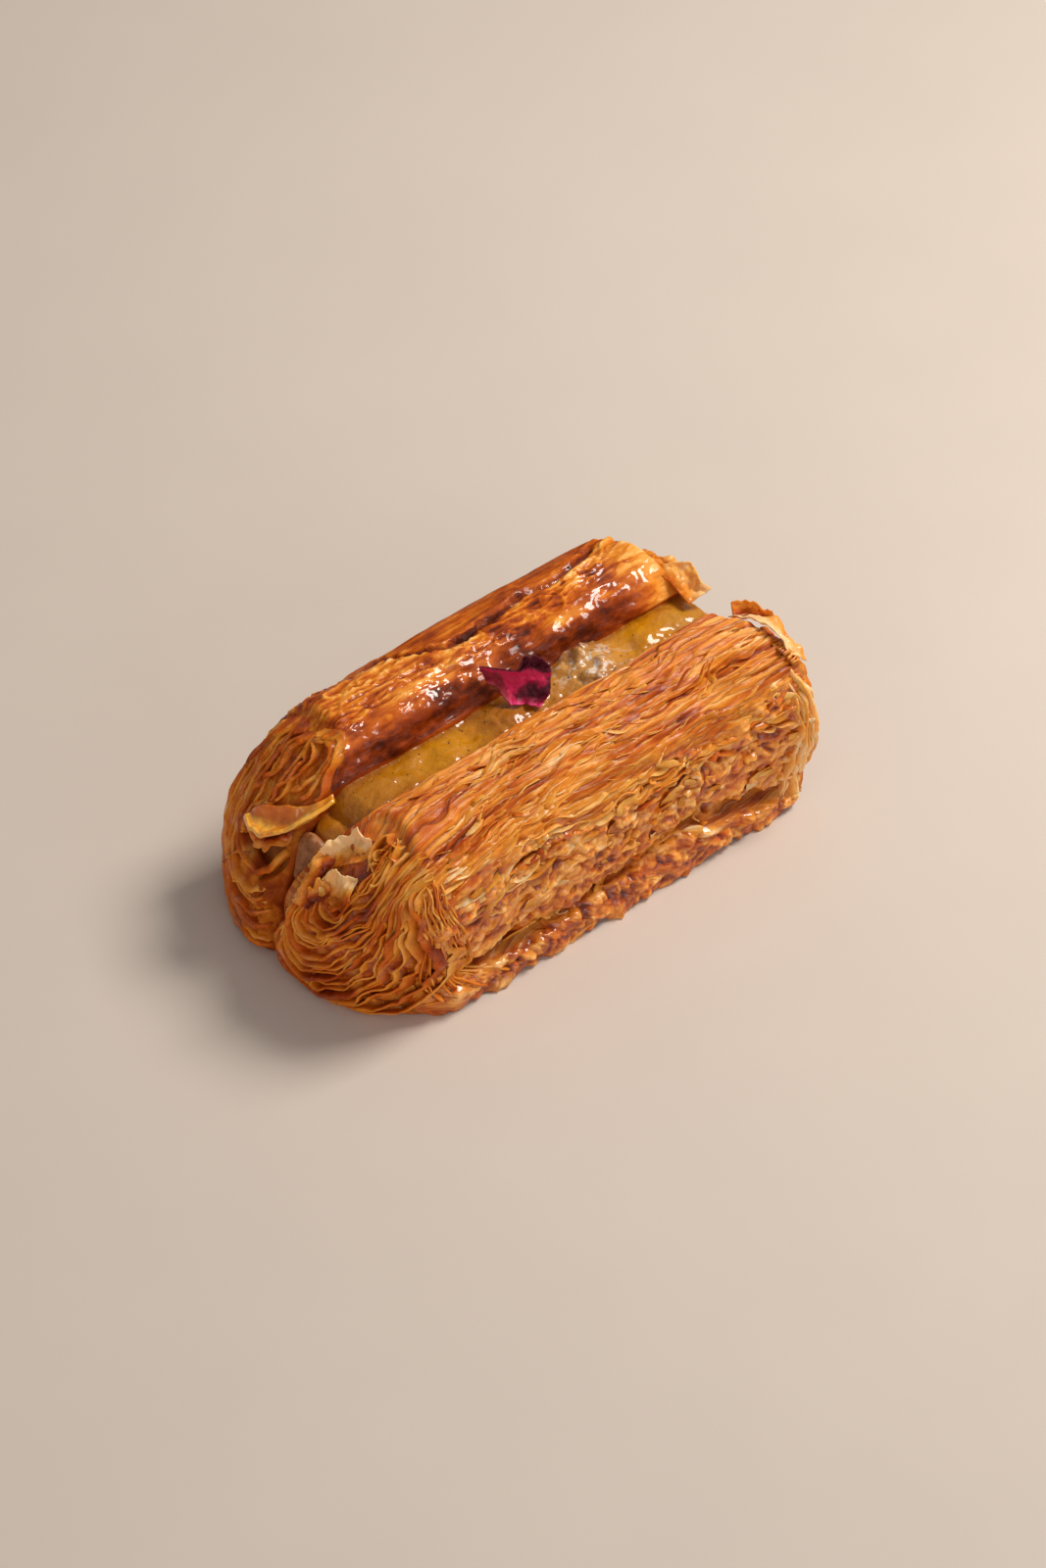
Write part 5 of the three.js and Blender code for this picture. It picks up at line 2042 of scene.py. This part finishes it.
def add_light(scene, name, direction, distance, size, power, colour):
    """A square soft light, in the given direction from the loaf, that faces it."""
    data = bpy.data.lights.new(name, "AREA")
    data.shape = "RECTANGLE"
    data.size, data.size_y = size
    data.energy = power
    data.color = colour
    light = bpy.data.objects.new(name, data)
    z = np.array(direction, float) / np.linalg.norm(direction)
    x = np.cross((0.0, 0.0, 1.0), z)
    x /= np.linalg.norm(x)
    y = np.cross(z, x)
    p = z * distance + np.array([0.0, 0.0, 0.03])
    light.matrix_world = Matrix(
        [(x[0], y[0], z[0], p[0]), (x[1], y[1], z[1], p[1]), (x[2], y[2], z[2], p[2]), (0, 0, 0, 1)]
    )
    scene.collection.objects.link(light)


class ECLAIR_OT_stage(bpy.types.Operator):
    """Builds the plain floor, the soft lights and the camera"""

    bl_idname = "eclair.stage"
    bl_label = "Floor, Lights And Camera"

    def execute(self, context):
        scene = context.scene
        settings = scene.eclair_stage
        mesh = bpy.data.meshes.new("floor")
        half = FLOOR_HALF
        corners = [(-half, -half, 0), (half, -half, 0), (half, half, 0), (-half, half, 0)]
        mesh.from_pydata(corners, [], [(0, 1, 2, 3)])
        mesh.materials.append(floor_material("plain_floor", settings.floor_colour))
        floor = bpy.data.objects.new("floor", mesh)
        scene.collection.objects.link(floor)
        world = bpy.data.worlds.new("studio")
        world.use_nodes = True
        backdrop = world.node_tree.nodes["Background"]
        backdrop.inputs["Color"].default_value = (1.0, 0.97, 0.94, 1.0)
        backdrop.inputs["Strength"].default_value = 0.28
        scene.world = world
        warm, cool = (1.0, 0.96, 0.9), (0.93, 0.96, 1.0)
        add_light(scene, "key", (0.6, -0.16, 0.78), 0.9, (0.34, 0.34), settings.key_power, warm)
        add_light(scene, "fill", (-0.1, -0.9, 0.34), 1.2, (0.9, 0.6), settings.fill_power, cool)
        add_light(scene, "end_fill", (-0.8, -0.5, 0.2), 1.1, (0.6, 0.5), 0.7 * settings.fill_power, warm)
        place_camera(scene)
        scene.view_settings.view_transform = "Standard"
        scene.view_settings.look = "None"
        return {"FINISHED"}


class ECLAIR_PT_panel(bpy.types.Panel):
    """Lists the steps that build the loaf"""

    bl_idname = "ECLAIR_PT_panel"
    bl_label = "Croissant Eclair"
    bl_space_type = "VIEW_3D"
    bl_region_type = "UI"
    bl_category = "Eclair"

    def draw(self, context):
        layout = self.layout
        crust = context.scene.eclair_crust
        for key in ("top_leaf_count", "shred_count", "blister_count", "leaf_reach", "flake_count"):
            layout.prop(crust, key)
        stage = context.scene.eclair_stage
        for key in ("floor_colour", "key_power", "fill_power"):
            layout.prop(stage, key)
        for step in STEPS:
            layout.operator(step.bl_idname)


STEPS = (
    ECLAIR_OT_front_roll,
    ECLAIR_OT_back_roll,
    ECLAIR_OT_layers,
    ECLAIR_OT_flaps,
    ECLAIR_OT_flakes,
    ECLAIR_OT_fillings,
    ECLAIR_OT_petal,
    ECLAIR_OT_stage,
)
CLASSES = (EclairCrustSettings, EclairStageSettings) + STEPS + (ECLAIR_PT_panel,)


def register():
    for each in CLASSES:
        bpy.utils.register_class(each)
    bpy.types.Scene.eclair_crust = bpy.props.PointerProperty(type=EclairCrustSettings)
    bpy.types.Scene.eclair_stage = bpy.props.PointerProperty(type=EclairStageSettings)


def unregister():
    del bpy.types.Scene.eclair_stage
    del bpy.types.Scene.eclair_crust
    for each in reversed(CLASSES):
        bpy.utils.unregister_class(each)


def main():
    register()
    for step in STEPS:
        group, name = step.bl_idname.split(".")
        getattr(getattr(bpy.ops, group), name)()


if __name__ == "__main__":
    main()
